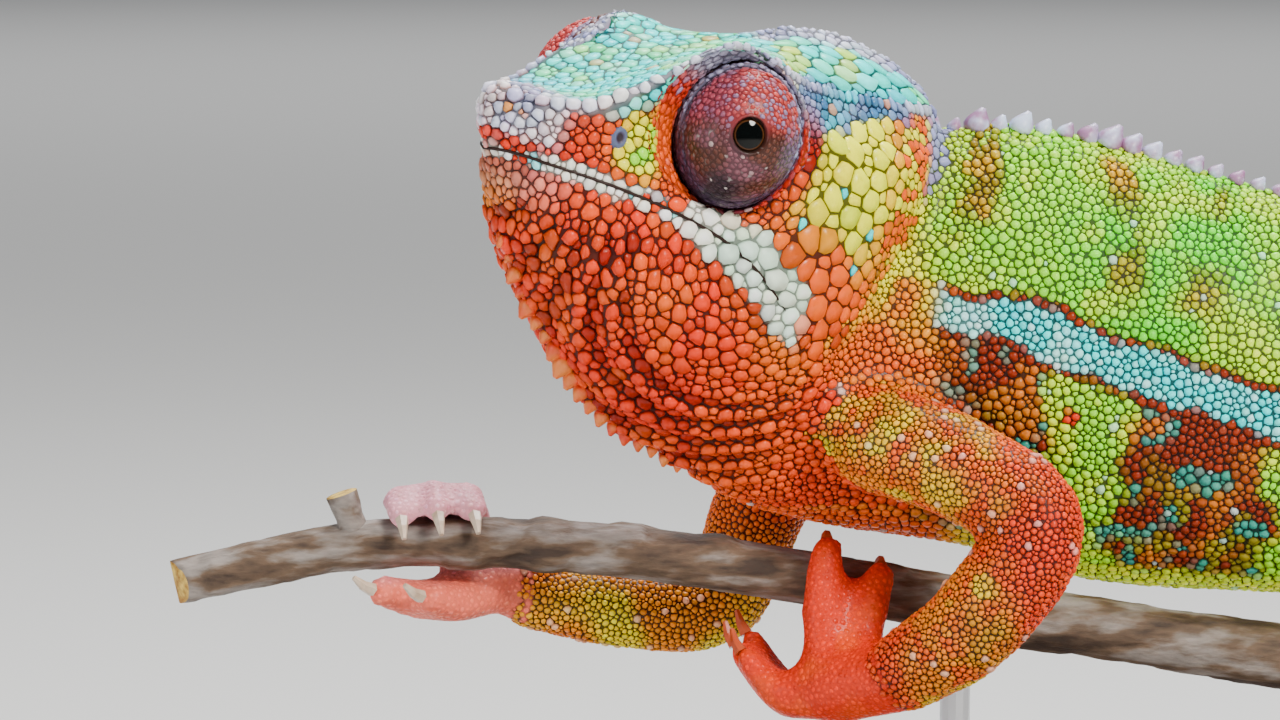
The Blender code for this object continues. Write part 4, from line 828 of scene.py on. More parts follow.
def domes(seeds, sides, chosen, neighbours, tint, root_uv, name, material, follow=False, seam=0.13):
    """Closed low domes, one for each chosen seed, each shaped by the neighbours that it meets."""
    spots, facing, size, tall, flat, stretch, lie = (v[chosen] for v in seeds)
    count = len(spots)
    first = lie - (lie * facing).sum(axis=1, keepdims=True) * facing
    weak = np.linalg.norm(first, axis=1) < 0.2
    first[weak] = np.cross(facing[weak], (0.3, 0.9, 0.2))
    first = unit_rows(first)
    second = np.cross(facing, first)
    all_spots, all_facing, all_size = seeds[:3]
    near = neighbours[chosen]
    offset = all_spots[near] - spots[:, None]
    u = np.einsum("nki,ni->nk", offset, first) / stretch[:, None]
    v = np.einsum("nki,ni->nk", offset, second)
    gap = np.linalg.norm(offset, axis=2)
    flat_gap = np.hypot(u, v)
    facing_same = np.einsum("nki,ni->nk", all_facing[near], facing) > 0
    wall = flat_gap * size[:, None] / (size[:, None] + all_size[near])
    wall = np.where(facing_same & (gap > 1e-6), wall, 1e3)
    toward = np.arctan2(v, u)
    turn = (np.arange(sides)[None] + rng.random((count, 1))) * 2 * math.pi / sides
    lean = np.cos(turn[:, :, None] - toward[:, None, :])
    limit = np.where(lean > 0.15, wall[:, None, :] / np.maximum(lean, 0.15), 1e3).min(axis=2)
    radius = np.minimum(limit * 0.98, (1.9 if follow else 1.6) * size[:, None])
    inner, raised = np.clip(1 - 0.12 / radius.mean(axis=1), 0.70, 0.93), 0.66 + 0.24 * flat
    height = tall * size * rng.uniform(0.85, 1.15, count)

    def ring(share, lift):
        across = (np.cos(turn) * radius * share * stretch[:, None])[:, :, None] * first[:, None]
        across = spots[:, None] + across + (np.sin(turn) * radius * share)[:, :, None] * second[:, None]
        if not follow:
            return across + lift[:, None, None] * facing[:, None]
        # Broad scales bend with the hide under them.
        under = [hide_tree.find_nearest(p) for p in across.reshape(-1, 3).tolist()]
        outward = np.array([found[1][:] for found in under]).reshape(across.shape)
        across = np.array([found[0][:] for found in under]).reshape(across.shape)
        outward = unit_rows((outward + 0.6 * facing[:, None]).reshape(-1, 3)).reshape(across.shape)
        return across + lift[:, None, None] * outward

    low = ring(np.ones((count, 1)), np.full(count, -0.10))
    mid = ring(inner[:, None], height * raised)
    tip = spots + facing * height[:, None]
    places = np.concatenate([low, mid, tip[:, None]], axis=1).reshape(-1, 3)
    pairs = [(k, (k + 1) % sides) for k in range(sides)]
    one = [(a, b, sides + b) for a, b in pairs] + [(a, sides + b, sides + a) for a, b in pairs]
    one += [(sides + a, sides + b, 2 * sides) for a, b in pairs]
    one += [(0, b + 1, b) for b in range(1, sides - 1)]
    faces = (np.array(one)[None] + (np.arange(count) * (2 * sides + 1))[:, None, None]).reshape(-1, 3)
    # Each dome runs from the seam's darker, warmer tone at the rim to 0.94 of its tint on the mid ring and 1.08 at the
    # crown, a painted highlight.
    tones = tint[chosen]
    pale = tones.min(axis=1) / np.maximum(tones.max(axis=1), 1e-6)
    rusty = np.where(tones[:, :1] > 1.02 * tones[:, 1:2], 1 + (1 - seam) * np.array((0.35, -0.40, -0.7)), 1)
    edge_tone = tones * rusty * (seam + 0.3 * (1 - seam) * pale)[:, None]
    colours = np.concatenate([np.repeat(edge_tone[:, None], sides, axis=1),
                              np.repeat(tones[:, None] * 0.94, sides, axis=1), tones[:, None] * 1.08], axis=1)
    colours = colours.reshape(-1, 3)
    made = mesh_object(name, places, faces.tolist(), material, np.clip(colours, 0, 1))
    # Each scale's colours lie in a small patch at its root's place on the skin's own unwrap.
    k = np.arange(sides)
    circle = np.column_stack([np.cos(2 * math.pi * k / sides), np.sin(2 * math.pi * k / sides)])
    patch = np.concatenate([circle, 0.6 * circle, [(0, 0)]]) * PATCH
    uv = (root_uv[chosen][:, None] + patch[None]).reshape(-1, 2)
    layer = made.data.uv_layers.new(name="OFBake")
    layer.data.foreach_set("uv", uv[faces.ravel()].astype(np.float32).ravel())
    return made


def nearest_neighbours(spots, count):
    tree = near_tree(spots)
    return np.array([[found[1] for found in tree.find_n(spot, count)] for spot in spots.tolist()])


def skin_unwrap_at(spots):
    """The skin unwrap's coordinates under each spot."""
    mesh = skin.data
    flat_uv = np.empty(len(mesh.loops) * 2, np.float32)
    mesh.uv_layers["OFBake"].data.foreach_get("uv", flat_uv)
    flat_uv = flat_uv.reshape(-1, 2)
    starts = np.empty(len(mesh.polygons), np.int32)
    mesh.polygons.foreach_get("loop_start", starts)
    under = [hide_tree.find_nearest(spot)[2] for spot in spots.tolist()]
    middle = np.add.reduceat(flat_uv, starts, axis=0)
    totals = np.diff(np.append(starts, len(flat_uv)))
    return (middle / totals[:, None])[under]


def hide_sizer(spots):
    return scale_sizes(spots, regions(spots)[0])


NOSTRIL = (9.7, -5.4)


def under_lids(spots):
    """True where the eyelids or the nostril's rim cover the hide."""
    covered = np.zeros(len(spots), bool)
    for socket, look in SOCKETS.values():
        rel = spots - socket
        flat = rel - (rel @ look)[:, None] * look
        off = np.maximum(np.linalg.norm(flat, axis=1), 1e-6)
        covered |= (off < socket_edge(flat @ UP / off) - 0.35) & (rel @ look > -6)
    ahead, out, up, _, inside, _, _, lip = head_measures(spots)
    in_nostril = (np.hypot(ahead - NOSTRIL[0], (up - NOSTRIL[1]) / 1.35) < 1.0) & (out > 6)
    return covered & (inside < 0.3) & (lip > 3.2) | in_nostril


LIP_SIZES = {"upper": (0.62, 0.95, 0.8, 0.62, 0.44, 0.36), "lower": (0.6, 0.66, 0.8, 0.7, 0.46, 0.38)}
lips = []
for name, share in (("upper", 1), ("lower", -1)):
    for side in (1, -1):
        points, at = [], 18.6
        while at > -14.2:
            half = np.interp(at, (-15, -12, -4, 0, 6, 19), LIP_SIZES[name]) * rng.uniform(0.68, 1.4)
            up = np.interp(at, MOUTH[:, 0], MOUTH[:, 1]) + share * (half * 0.95 + 0.05)
            spot = from_side(at, up, side)
            if spot is not None:
                points.append((spot, half))
            at -= half * 1.98
        lips.append(seed_row(*smooth_facing([p[0] for p in points]), [p[1] for p in points], 0.5, 0.5,
                             rng.uniform(0.85, 1.4, len(points)), AHEAD))
rows = [scale_row(RIDGE[:4], (10, 18), (0.80, 0.80), 0.85, 0.0, 1.05),
        scale_row(RIDGE[3:], (-32, -8, 0, 6, 11), (0.46, 0.46, 0.46, 0.52, 0.70), 0.85, 0.0, 1.4),
        scale_row(np.array(KEEL), (-33, -6), (0.48, 0.48), 0.6, 0.1, 1.4), *lips]
# Rounder beads follow the tops of the throat's pleats.
for side in (1, -1):
    points = []
    for crest in PLEAT * (np.arange(6, 15) + 0.25):
        angle = math.radians(-12)
        while angle > math.radians(-150):
            half = rng.uniform(0.50, 0.80)
            at, high = crest * math.cos(angle) - 10, crest * math.sin(angle) - 12
            spot = from_side(at, high, side) if high < -15 and at > -25 else None
            if spot is not None:
                points.append((spot, half))
            angle -= 1.9 * half / crest
    spots, facing = smooth_facing([p[0] for p in points])
    outward = np.column_stack([in_head(spots)[:, 0] + 10, in_head(spots)[:, 2] + 12])
    rows.append(seed_row(spots, facing, [p[1] for p in points], 0.75, 0.1, 1.15,
                         unit_rows(-outward[:, 1:] * AHEAD + outward[:, :1] * UP)))
flecks = smooth_facing([from_side(*spot, side) for spot in CHEEK_FLECKS for side in (1, -1)])
rows.append(seed_row(*flecks, 0.42, 0.6, 0.5, 1.2, UP))
seeds = scatter(hide_places, hide_normals, hide_triangles, hide_sizer, 3.6, rows, under_lids)
seed_region, seed_left = regions(seeds[0])
tubercle = (rng.random(len(seeds[0])) < 0.045) & np.isin(seed_region, ("arm", "leg")) & (seeds[2] > 0.31)
seeds[2][tubercle] *= 1.6
seeds[3][tubercle] *= 1.15
coat_tint = markings(seeds[0], seed_region, seed_left)
lively = rng.uniform(0.80, 1.25, len(coat_tint))
coat_tint = coat_tint * lively[:, None] * rng.uniform(0.93, 1.07, (len(coat_tint), 3))
coat_tint = blend(coat_tint, CREAM, np.where(tubercle, 0.38, 0))
pale = (rng.random(len(coat_tint)) < 0.01) & (seed_region == "trunk")
coat_tint = blend(coat_tint, CYAN * 0.5 + MILK * 0.5, np.where(pale, 0.5, 0))
in_stripe = (coat_tint[:, 2] > 1.3 * coat_tint[:, 0]) & (coat_tint[:, 2] > 0.3) & (seed_region == "trunk")
coat_tint = blend(coat_tint, MILK, np.where(in_stripe, 0.4 * rng.random(len(coat_tint)) ** 3, 0))
crown_fleck = (seed_region == "head") & (rng.random(len(coat_tint)) < 0.03) & (in_head(seeds[0])[:, 2] > 0)
coat_tint = blend(coat_tint, AMBER, np.where(crown_fleck, 0.6, 0))
coat_uv = skin_unwrap_at(seeds[0])
coat_near = nearest_neighbours(seeds[0], 11)
plate_finish = hide_material("plate_scales", 500, 0.55, 0.34, 2600, 0.03)
granule_finish = hide_material("granule_scales", 800, 0.4, 0.38, 3400, 0.02)
seed_x, seed_z = seeds[0][:, 0], seeds[0][:, 2]
whole = np.ones(len(seed_x), bool)
# Each coat of scales: its name, the region of hide that it covers, and which part of that.
coats = (("head_scales", "head", whole), ("throat_scales", "throat", whole), ("neck_scales", "neck", whole),
         ("flank_scales_front", "trunk", seed_x < -8),
         ("flank_scales_middle", "trunk", (seed_x >= -8) & (seed_x < 30)), ("flank_scales_rear", "trunk", seed_x >= 30),
         ("tail_scales_root", "tail", seed_z > 66), ("tail_scales_coil", "tail", seed_z <= 66),
         ("arm_scales_left", "arm", seed_left), ("arm_scales_right", "arm", ~seed_left),
         ("leg_scales_left", "leg", seed_left), ("leg_scales_right", "leg", ~seed_left),
         ("hand_scales", "hand", whole), ("foot_scales", "foot", whole))
for coat_name, region, part in coats:
    sides = {"head": 11, "throat": 11, "hand": 6, "foot": 6}.get(region, 8 if "front" in coat_name else 7)
    seam = {"hand": 0.8, "foot": 0.8, "trunk": 0.3}.get(region, 0.15)
    finish = plate_finish if region == "head" else granule_finish
    coat = domes(seeds, sides, np.flatnonzero((seed_region == region) & part), coat_near, coat_tint, coat_uv,
                 coat_name, finish, region in ("head", "throat", "hand", "foot"), seam)
    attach(coat, "root")


# ---- Eye turrets
# Each eye sits in a cone of fused lids, beaded above, smooth and dark below, with a small round
# opening at its tip. A fold of loose skin round its foot joins it to the socket.
OPENING = 1.56
TURRET_SIDES = 96


def ring_faces(count, around, first, last):
    """Quads between rings of vertices, and fans that close their ends round the vertices first and last."""
    pairs, far = [(k, (k + 1) % around) for k in range(around)], (count - 1) * around
    quads = [(r + a, r + around + a, r + around + b, r + b) for r in range(0, far, around) for a, b in pairs]
    return quads + [(first, a, b) for a, b in pairs] + [(far + a, last, far + b) for a, b in pairs]


def turned_over(faces):
    """The same faces, facing the other way."""
    return [face[:1] + face[:0:-1] for face in faces]


turret_finish = hide_material("turret_lids", 900, 0.5, 0.34, 3600, 0.03)


def turret_frame(side):
    base, look = EYES[side]
    high = UP - (UP @ look) * look
    high = high / np.linalg.norm(high)
    return base, look, high, np.cross(high, look) * (1 if side == "left" else -1)


def turret_surface(side):
    """Rings from the opening's wall over the dome, through the groove and over the fold to the socket's edge."""
    base, look, high, ahead = turret_frame(side)
    around = np.linspace(0, 2 * math.pi, TURRET_SIDES, endpoint=False)
    spokes = np.cos(around)[:, None] * ahead + np.sin(around)[:, None] * high
    oval = np.cos(around)[:, None] * ahead * TURRET_WIDTH + np.sin(around)[:, None] * high
    rows, rim = [], OPENING + 0.42
    for t in np.linspace(0, 1, 5):
        rows.append((OPENING - 0.02 + (rim - OPENING) * t * t, TURRET_HEIGHT - 1.1 + 1.06 * t))
    low = math.asin(((rim + 0.1) / TURRET_RADIUS) ** (1 / 0.92))
    for t in np.linspace(low, math.pi / 2, 44):
        fold = 0.10 * ease(0.9, 1.2, t) * math.sin(t * 44)
        rows.append(((TURRET_RADIUS - 0.1 + fold) * math.sin(t) ** 0.92, (TURRET_HEIGHT - 0.1 + fold) * math.cos(t)))
    rings = [base + look * z + r * (spokes + (oval - spokes) * ease(2.0, 5.5, r)) for r, z in rows]
    # The upper lid's fold is a deep crease over the dome that runs out towards the lower half.
    crease_depth = 0.34 * ease(-0.35, 0.35, np.sin(around))
    for k, (r, z) in enumerate(rows[5:], 5):
        depth = np.exp(-((r / TURRET_RADIUS - 0.915) / 0.022) ** 2) * crease_depth
        rings[k] = rings[k] - depth[:, None] * (0.5 * look + spokes)
    lift = (0.3 + 1.2 * ease(-0.3, 1.0, np.cos(around)))[:, None]
    rings.append(base + look * (lift - 0.9) + (TURRET_RADIUS - 0.35) * oval)
    foot = base + look * lift + (TURRET_RADIUS + 0.15) * oval
    socket, out = SOCKETS[side]
    edge_spokes = unit_rows(spokes - (spokes @ out)[:, None] * out)
    edge = socket + socket_edge(edge_spokes @ UP)[:, None] * edge_spokes
    edge, facing = smooth_facing(edge + out * 0.5)
    edge = edge - 0.15 * facing
    for t in (0, 0.25, 0.5, 0.75, 1):
        rings.append(foot + (edge - foot) * t + 0.7 * math.sin(math.pi * min(0.15 + t, 1)) * (1 - t) ** 0.4 * out)
    rings.append(base - look * 2.4 + TURRET_RADIUS * 0.8 * spokes)
    places = np.concatenate(rings + [(base - look * 2.6)[None], (base + look * (TURRET_HEIGHT - 1.1))[None]])
    faces = ring_faces(len(rings), TURRET_SIDES, len(places) - 1, len(places) - 2)
    if side == "right":
        faces = [f[::-1] for f in faces]
    return places, faces, len(rings)


def turret_colours(places, side, mottle=0.5):
    base, look, high, ahead = turret_frame(side)
    rel = places - base
    out, rise, front = rel @ look, rel @ high, rel @ ahead
    off = np.hypot(rise, front / TURRET_WIDTH)
    soft, fine = grain(places, 1.7, 101), np.full(len(places), mottle)
    red, dusk, plum = paint(0.82, 0.24, 0.14), paint(0.52, 0.52, 0.68), paint(0.52, 0.20, 0.30)
    c = blend(paint(0.36, 0.20, 0.16), paint(0.46, 0.28, 0.32), ease(0.35, 0.7, soft))
    beads = blend(red, dusk, ease(0.45, 0.85, fine) * 0.9)
    beads = blend(beads, plum, ease(-0.5, -4.0, front) * 0.7)
    if side == "right":
        beads = paint(0.90, 0.28, 0.22)
    beads = 0.75 * beads + 0.25 * paint(0.56, 0.34, 0.44)
    beaded = ease(-0.8, 1.8, rise + 1.2 * (soft - 0.5) - 0.2 * front) if side == "left" else ease(-3, -2, rise)
    c = blend(c, beads, beaded)
    c = blend(c, paint(0.46, 0.42, 0.58),
              0.75 * ease(2.5, 5.5, front + 1.5 * (soft - 0.5)) * ease(3.5, 0, np.abs(rise)))
    c = blend(c, paint(0.60, 0.62, 0.76), 0.85 * ease(0.87, 0.93, off / TURRET_RADIUS) * ease(-3.5, 1.0, rise))
    c = blend(c, paint(0.30, 0.24, 0.36), 0.8 * ease(0.80, 0.92, off / TURRET_RADIUS) * ease(-1.0, -4.0, rise))
    c = blend(c, paint(0.12, 0.08, 0.13),
              0.9 * (1 - ease(1.2, 2.9, np.hypot(rise + 5.9, (front + 0.6) * 0.8) + soft)))
    c = blend(c, paint(0.88, 0.84, 0.82), 0.7 * ease(0.84, 0.9, grain(places, 0.4, 105)) * ease(0, -1.5, rise))
    # Painted shade: the upper lid's crease over the dome is darkened.
    crease_shade = (1 - ease(0.008, 0.022, np.abs(off / TURRET_RADIUS - 0.915))) * (side == "left")
    c = blend(c, paint(0.12, 0.10, 0.18), 0.9 * crease_shade * ease(-2.5, 1.5, rise) * (out > 0))
    # The loose fold: red in front, grey-violet above, orange towards the cheek.
    fold = blend(paint(0.80, 0.17, 0.06), dusk, ease(0.70, 0.95, fine) * 0.8)
    fold = blend(fold, paint(0.66, 0.66, 0.76), ease(2.6, 5.5, rise))
    fold = blend(fold, ORANGE, ease(0, -4, front) * ease(2, -2, rise) * 0.85)
    fold = blend(fold, paint(0.28, 0.10, 0.12), 0.7 * ease(-5.5, -8, rise) * ease(0.35, 0.6, soft))
    if side == "right":
        fold = blend(PEARL * 0.8, LAVENDER, ease(0.3, 0.7, fine))
    c = blend(c, fold, ease(TURRET_RADIUS + 0.05, TURRET_RADIUS + 0.3, off))
    # Painted shade: the groove round the dome's foot is darkened.
    groove = (1 - ease(0.1, 0.35, np.abs(off - TURRET_RADIUS)) - (out > 1.2)) * (side == "left")
    c = blend(c, paint(0.26, 0.12, 0.14), 0.9 * groove)
    return blend(c, paint(0.22, 0.15, 0.13), (1 - ease(OPENING + 0.2, OPENING + 0.5, off)) * (out > 2))


for side in ("left", "right"):
    turret_places, turret_faces, ring_count = turret_surface(side)
    turret = mesh_object("lids_" + side, turret_places, turret_faces, turret_finish,
                         np.clip(turret_colours(turret_places, side) * 0.5, 0, 1))
    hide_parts("eye_turret_" + side)
    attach(turret, "root")
    outer, turret_triangles = mesh_arrays(turret.data)
    outer_normals = vertex_normals(outer, turret_triangles)
    base, look, high, ahead = turret_frame(side)
    ring_of = turret_triangles // TURRET_SIDES
    shown = (ring_of.min(axis=1) > 5) & (ring_of.max(axis=1) < ring_count - 1)

    def bead_sizer(spots):
        rel = spots - base
        rise, off = rel @ high, np.linalg.norm(rel - (rel @ look)[:, None] * look, axis=1)
        size = np.interp(off, (1.5, 3.5, 7.4, 7.8, 9), (0.16, 0.24, 0.26, 0.30, 0.34))
        tall = np.where(off > TURRET_RADIUS, 0.5, 0.14 + 0.42 * ease(-1.5, 1.5, rise))
        across = unit_rows(np.cross(look[None], rel))
        return size, tall, np.full(len(spots), 0.3), np.where(off > 0.8 * TURRET_RADIUS, 1.5, 1.2), across

    beads = scatter(outer, outer_normals, turret_triangles[shown], bead_sizer, 2.2)
    bead_tint = turret_colours(beads[0], side, rng.random(len(beads[0])))
    bead_tint = bead_tint * rng.uniform(0.8, 1.25, len(beads[0]))[:, None]
    fine_coat = domes(beads, 7, np.arange(len(beads[0])), nearest_neighbours(beads[0], 10), bead_tint,
                      skin_unwrap_at(beads[0]), "lid_beads_" + side, turret_finish)
    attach(fine_coat, "root")


# ---- Eyes
# The wet front of each eyeball: a black pupil in a thin gold-brown iris, just inside the lids'
# opening.
def noise(tree, size, detail=2, stretch=None):
    """Noise on a piece's own coordinates, drawn out along its grain."""
    place = add(tree, "ShaderNodeTexCoord", output="Object")
    if stretch:
        place = add(tree, "ShaderNodeMapping", Vector=place, Scale=stretch)
    return add(tree, "ShaderNodeTexNoise", output="Fac", Vector=place, Scale=size, Detail=detail)


def mixed(tree, share, first, second, **modes):
    """Two colours mixed by a share."""
    return add(tree, "ShaderNodeMix", output="Result", data_type="RGBA", Factor=share, A=first, B=second, **modes)


iris_material, tree, shader = new_material("wet_iris")
iris_tint = add(tree, "ShaderNodeAttribute", output="Color", attribute_name="tint")
feed(tree, shader, Base_Color=mixed(tree, 0.5, iris_tint, noise(tree, 4200, 4), blend_type="MULTIPLY"),
     Roughness=0.05, Specular_IOR_Level=0.22)
for side in ("left", "right"):
    base, look, high, ahead = turret_frame(side)
    around = np.linspace(0, 2 * math.pi, 40, endpoint=False)
    spokes = np.cos(around)[:, None] * ahead + np.sin(around)[:, None] * high
    rows = [(0.35, 0), (0.7, 0), (1.0, 0), (1.34, 0), (1.40, 1), (1.46, 1), (1.53, 1)]
    top, floor_at = TURRET_HEIGHT - 0.30, TURRET_HEIGHT - 1.05
    rings = [base + look * (top - 0.13 * r * r) + r * spokes for r, _ in rows]
    rings.append(base + look * floor_at + 1.53 * spokes)
    eye_places = np.concatenate(rings + [(base + look * top)[None], (base + look * floor_at)[None]])
    eye_faces = ring_faces(len(rings), 40, len(eye_places) - 2, len(eye_places) - 1)
    if side == "right":
        eye_faces = [f[::-1] for f in eye_faces]
    gold, black = paint(0.34, 0.20, 0.10), paint(0.01, 0.02, 0.02)
    # Painted shade: the side wall below the iris fades to 0.4 of its gold, down inside the lids' opening.
    eye_tint = np.repeat([gold if is_iris else black for _, is_iris in rows] + [gold * 0.4], 40, axis=0)
    eye_tint = np.vstack([eye_tint, black, black])
    eyeball = mesh_object("eyeball_" + side, eye_places, eye_faces, iris_material, eye_tint)
    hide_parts("eye_" + side)
    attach(eyeball, "root")


# ---- Mouth and nostrils
# The closed mouth shows as one fine dark tube between the lip plates, a painted shadow in the
# mouth's crack. Each nostril is a small smooth ring of grey skin round a hollow painted dark as shade.
mouth_shadow_and_nostril_skin = hide_material("mouth_shadow_and_nostril_skin", 900, 0.4, 0.5, 3000, 0.02)
mouth_points = [from_side(at, np.interp(at, MOUTH[:, 0], MOUTH[:, 1]), 1) for at in np.linspace(-14.8, 19.0, 70)]
front = hide_tree.ray_cast(Vector(from_head(40, 0, -10.8)), Vector(-AHEAD))[0]
mouth_points += [np.array(front)]
mouth_points += [from_side(at, np.interp(at, MOUTH[:, 0], MOUTH[:, 1]), -1) for at in np.linspace(19.0, -14.8, 70)]
mouth_line, mouth_facing = smooth_facing(smoothed(np.array([p for p in mouth_points if p is not None]), 14))
ways = unit_rows(np.gradient(mouth_line, axis=0))
cross_ways = np.cross(ways, mouth_facing)
turn = np.linspace(0, 2 * math.pi, 8, endpoint=False)
thickness = 0.17 * np.clip(np.minimum(np.arange(len(ways)), np.arange(len(ways))[::-1]) / 6, 0.1, 1)
seam = np.concatenate([mouth_line[k] + mouth_facing[k] * 0.13 + thickness[k]
                       * (np.cos(turn)[:, None] * mouth_facing[k] + np.sin(turn)[:, None] * cross_ways[k])
                       for k in range(len(ways))] + [mouth_line[:1], mouth_line[-1:]])
seam_faces = turned_over(ring_faces(len(ways), 8, len(seam) - 2, len(seam) - 1))
# A dark tube laid in the closed mouth's crack as painted shadow.
mouth_shadow_tube = mesh_object("mouth_line", seam, seam_faces, mouth_shadow_and_nostril_skin, np.tile(paint(0.16, 0.09, 0.07), (len(seam), 1)))
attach(mouth_shadow_tube, "root")
for side in (1, -1):
    middle = from_side(*NOSTRIL, side)
    middle, out = (v[0] for v in smooth_facing([middle]))
    high = unit_rows((UP - (UP @ out) * out)[None])[0]
    along = np.cross(high, out)
    turn = np.linspace(0, 2 * math.pi, 24, endpoint=False)
    profile = [(0.16, 0.26), (0.30, 0.28), (0.42, 0.34), (0.56, 0.46), (0.78, 0.36), (0.98, 0.05), (1.05, -0.25)]
    oval = np.cos(turn)[:, None] * along + 1.3 * np.sin(turn)[:, None] * high
    rings = [middle + out * z + r * oval for r, z in profile]
    ring_places = np.concatenate(rings + [(middle + out * 0.25)[None], (middle - out * 0.3)[None]])
    # Painted shade: the nostril's shallow centre is near-black, for the shade inside its opening.
    hollow_shade, rim_tone, lip_tone = (0.03, 0.02, 0.03), paint(0.30, 0.28, 0.38), paint(0.34, 0.38, 0.50)
    tones = np.repeat([hollow_shade] * 2 + [rim_tone] + [lip_tone] * 4, 24, axis=0)
    nostril = mesh_object("nostril_" + ("left" if side > 0 else "right"), ring_places,
                          ring_faces(7, 24, 168, 169), mouth_shadow_and_nostril_skin,
                          np.vstack([tones, hollow_shade, (0.1, 0.1, 0.1)]))
    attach(nostril, "root")


# ---- Crests
# Rows of soft, pointed scales: a pale comb along the spine and a smaller orange one under the
# chin and throat. Each spine grows from the skin and leans back a little.
COMB, given, result = node_group(
    "comb", "GeometryNodeTree",
    {"Geometry": ("Geometry", None), "Spacing": ("Float", 0.0022), "Base Radius": ("Float", 0.001),
     "Height": ("Float", 0.0018), "Lean": ("Float", 0.3), "Material": ("Material", None)},
    {"Geometry": "Geometry"})
COMB.is_modifier = True
# The sides swell, so that a spine is a blunt horn and not a cone.
cone = add(COMB, "GeometryNodeMeshCone", Vertices=8, Side_Segments=5, Radius_Top=0.00022,
           Radius_Bottom=given["Base Radius"], Depth=given["Height"])
apart = COMB.nodes.new("ShaderNodeSeparateXYZ")
feed(COMB, apart, add(COMB, "GeometryNodeInputPosition"))
share = maths(COMB, "DIVIDE", apart.outputs["Z"], given["Height"])
swell = maths(COMB, "MULTIPLY", share, maths(COMB, "SUBTRACT", 1.0, share))
swell = maths(COMB, "MULTIPLY_ADD", swell, 2.4, 1.0)
wide = [maths(COMB, "MULTIPLY", apart.outputs[axis], swell) for axis in "XY"]
swollen_place = add(COMB, "ShaderNodeCombineXYZ", *wide, apart.outputs["Z"])
spine = add(COMB, "GeometryNodeSetPosition", Geometry=cone, Position=swollen_place)
spine = add(COMB, "GeometryNodeTransform", Geometry=spine, Translation=(0, 0, -0.0003))


def guide_value(name, kind):
    """A value that the guide line carries at each of its points."""
    return add(COMB, "GeometryNodeInputNamedAttribute", output="Attribute", data_type=kind, Name=name)


leaned = add(COMB, "ShaderNodeVectorMath", guide_value("back", "FLOAT_VECTOR"), given["Lean"],
             guide_value("rise", "FLOAT_VECTOR"), operation="MULTIPLY_ADD")
roots = add(COMB, "GeometryNodeMeshToCurve", Mesh=given["Geometry"])
roots = add(COMB, "GeometryNodeCurveToPoints", mode="LENGTH", Curve=roots, Length=given["Spacing"])
# From small to full size, each a little bigger or smaller at random.
random_size = COMB.nodes.new("FunctionNodeRandomValue")
random_size.data_type = "FLOAT"
random_size.inputs[2].default_value, random_size.inputs[3].default_value = 0.68, 1.25
random_size.inputs["Seed"].default_value = 4
spines = add(COMB, "GeometryNodeInstanceOnPoints", Points=roots, Instance=spine,
             Rotation=add(COMB, "FunctionNodeAlignRotationToVector", axis="Z", Vector=leaned),
             Scale=maths(COMB, "MULTIPLY", random_size.outputs[1], guide_value("full", "FLOAT")))
spines = add(COMB, "GeometryNodeSetShadeSmooth", Geometry=add(COMB, "GeometryNodeRealizeInstances", Geometry=spines))
feed(COMB, result, Geometry=add(COMB, "GeometryNodeSetMaterial", Geometry=spines, Material=given["Material"]))


def comb(name, places, rise, back, full, material, **sizes):
    """A comb of spines along a line on the skin, as one plain mesh."""
    guide_mesh = bpy.data.meshes.new(name + "_guide")
    guide_mesh.from_pydata((places * MM).tolist(), [(k, k + 1) for k in range(len(places) - 1)], [])
    for label, values in (("rise", rise), ("back", back), ("full", full)):
        kind, field = ("FLOAT", "value") if label == "full" else ("FLOAT_VECTOR", "vector")
        layer = guide_mesh.attributes.new(label, kind, "POINT")
        layer.data.foreach_set(field, np.asarray(values, np.float32).ravel())
    guide = placed(name + "_guide", guide_mesh)
    modifier = guide.modifiers.new("comb", "NODES")
    modifier.node_group = COMB
    keys = {s.name: s.identifier for s in COMB.interface.items_tree if s.in_out == "INPUT"}
    for label, value in sizes.items():
        modifier[keys[label.replace("_", " ").title()]] = value * MM if label != "lean" else value
    modifier[keys["Material"]] = material
    made = bpy.data.meshes.new_from_object(guide.evaluated_get(bpy.context.evaluated_depsgraph_get()))
    bpy.data.objects.remove(guide)
    made.name = name
    return placed(name, made)


def spine_material(name, first_tone, second_tone):
    """Soft horn, clouded with two tones."""
    made, tree, shader = new_material(name)
    clouds = noise(tree, 350, 3)
    share = add(tree, "ShaderNodeMapRange", Value=clouds, From_Min=0.38, From_Max=0.62)
    feed(tree, shader, Base_Color=mixed(tree, share, (*first_tone, 1), (*second_tone, 1)), Roughness=0.4,
         Normal=add(tree, "ShaderNodeBump", Distance=0.00004, Strength=0.5, Height=clouds))
    return made


spine_x = np.linspace(-37.2, 78.0, 120)
spine_line = []
for x in spine_x:
    hit = hide_tree.ray_cast(Vector((x, 2.4 if x > -30 else 2.9, 150)), Vector((0, 0, -1)))
    spine_line.append(hit[0][:] if hit[0] else (x, 2.2, 100))
spine_line = smoothed(np.array(spine_line), 12)
slope = unit_rows(np.gradient(spine_line, axis=0))
rise = np.cross((0, 1.0, 0), slope)
rise *= np.sign(rise[:, 2:3])
full = np.interp(spine_x, (-37.2, -33, 20, 60, 78), (0.7, 1.0, 0.95, 0.6, 0.3))
crest = comb("dorsal_crest", spine_line, rise, slope, full,
             spine_material("crest_horn", paint(0.62, 0.44, 0.60), paint(0.80, 0.86, 0.98)),
             spacing=2.3, base_radius=1.1, height=2.3, lean=0.4)
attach(crest, "root")

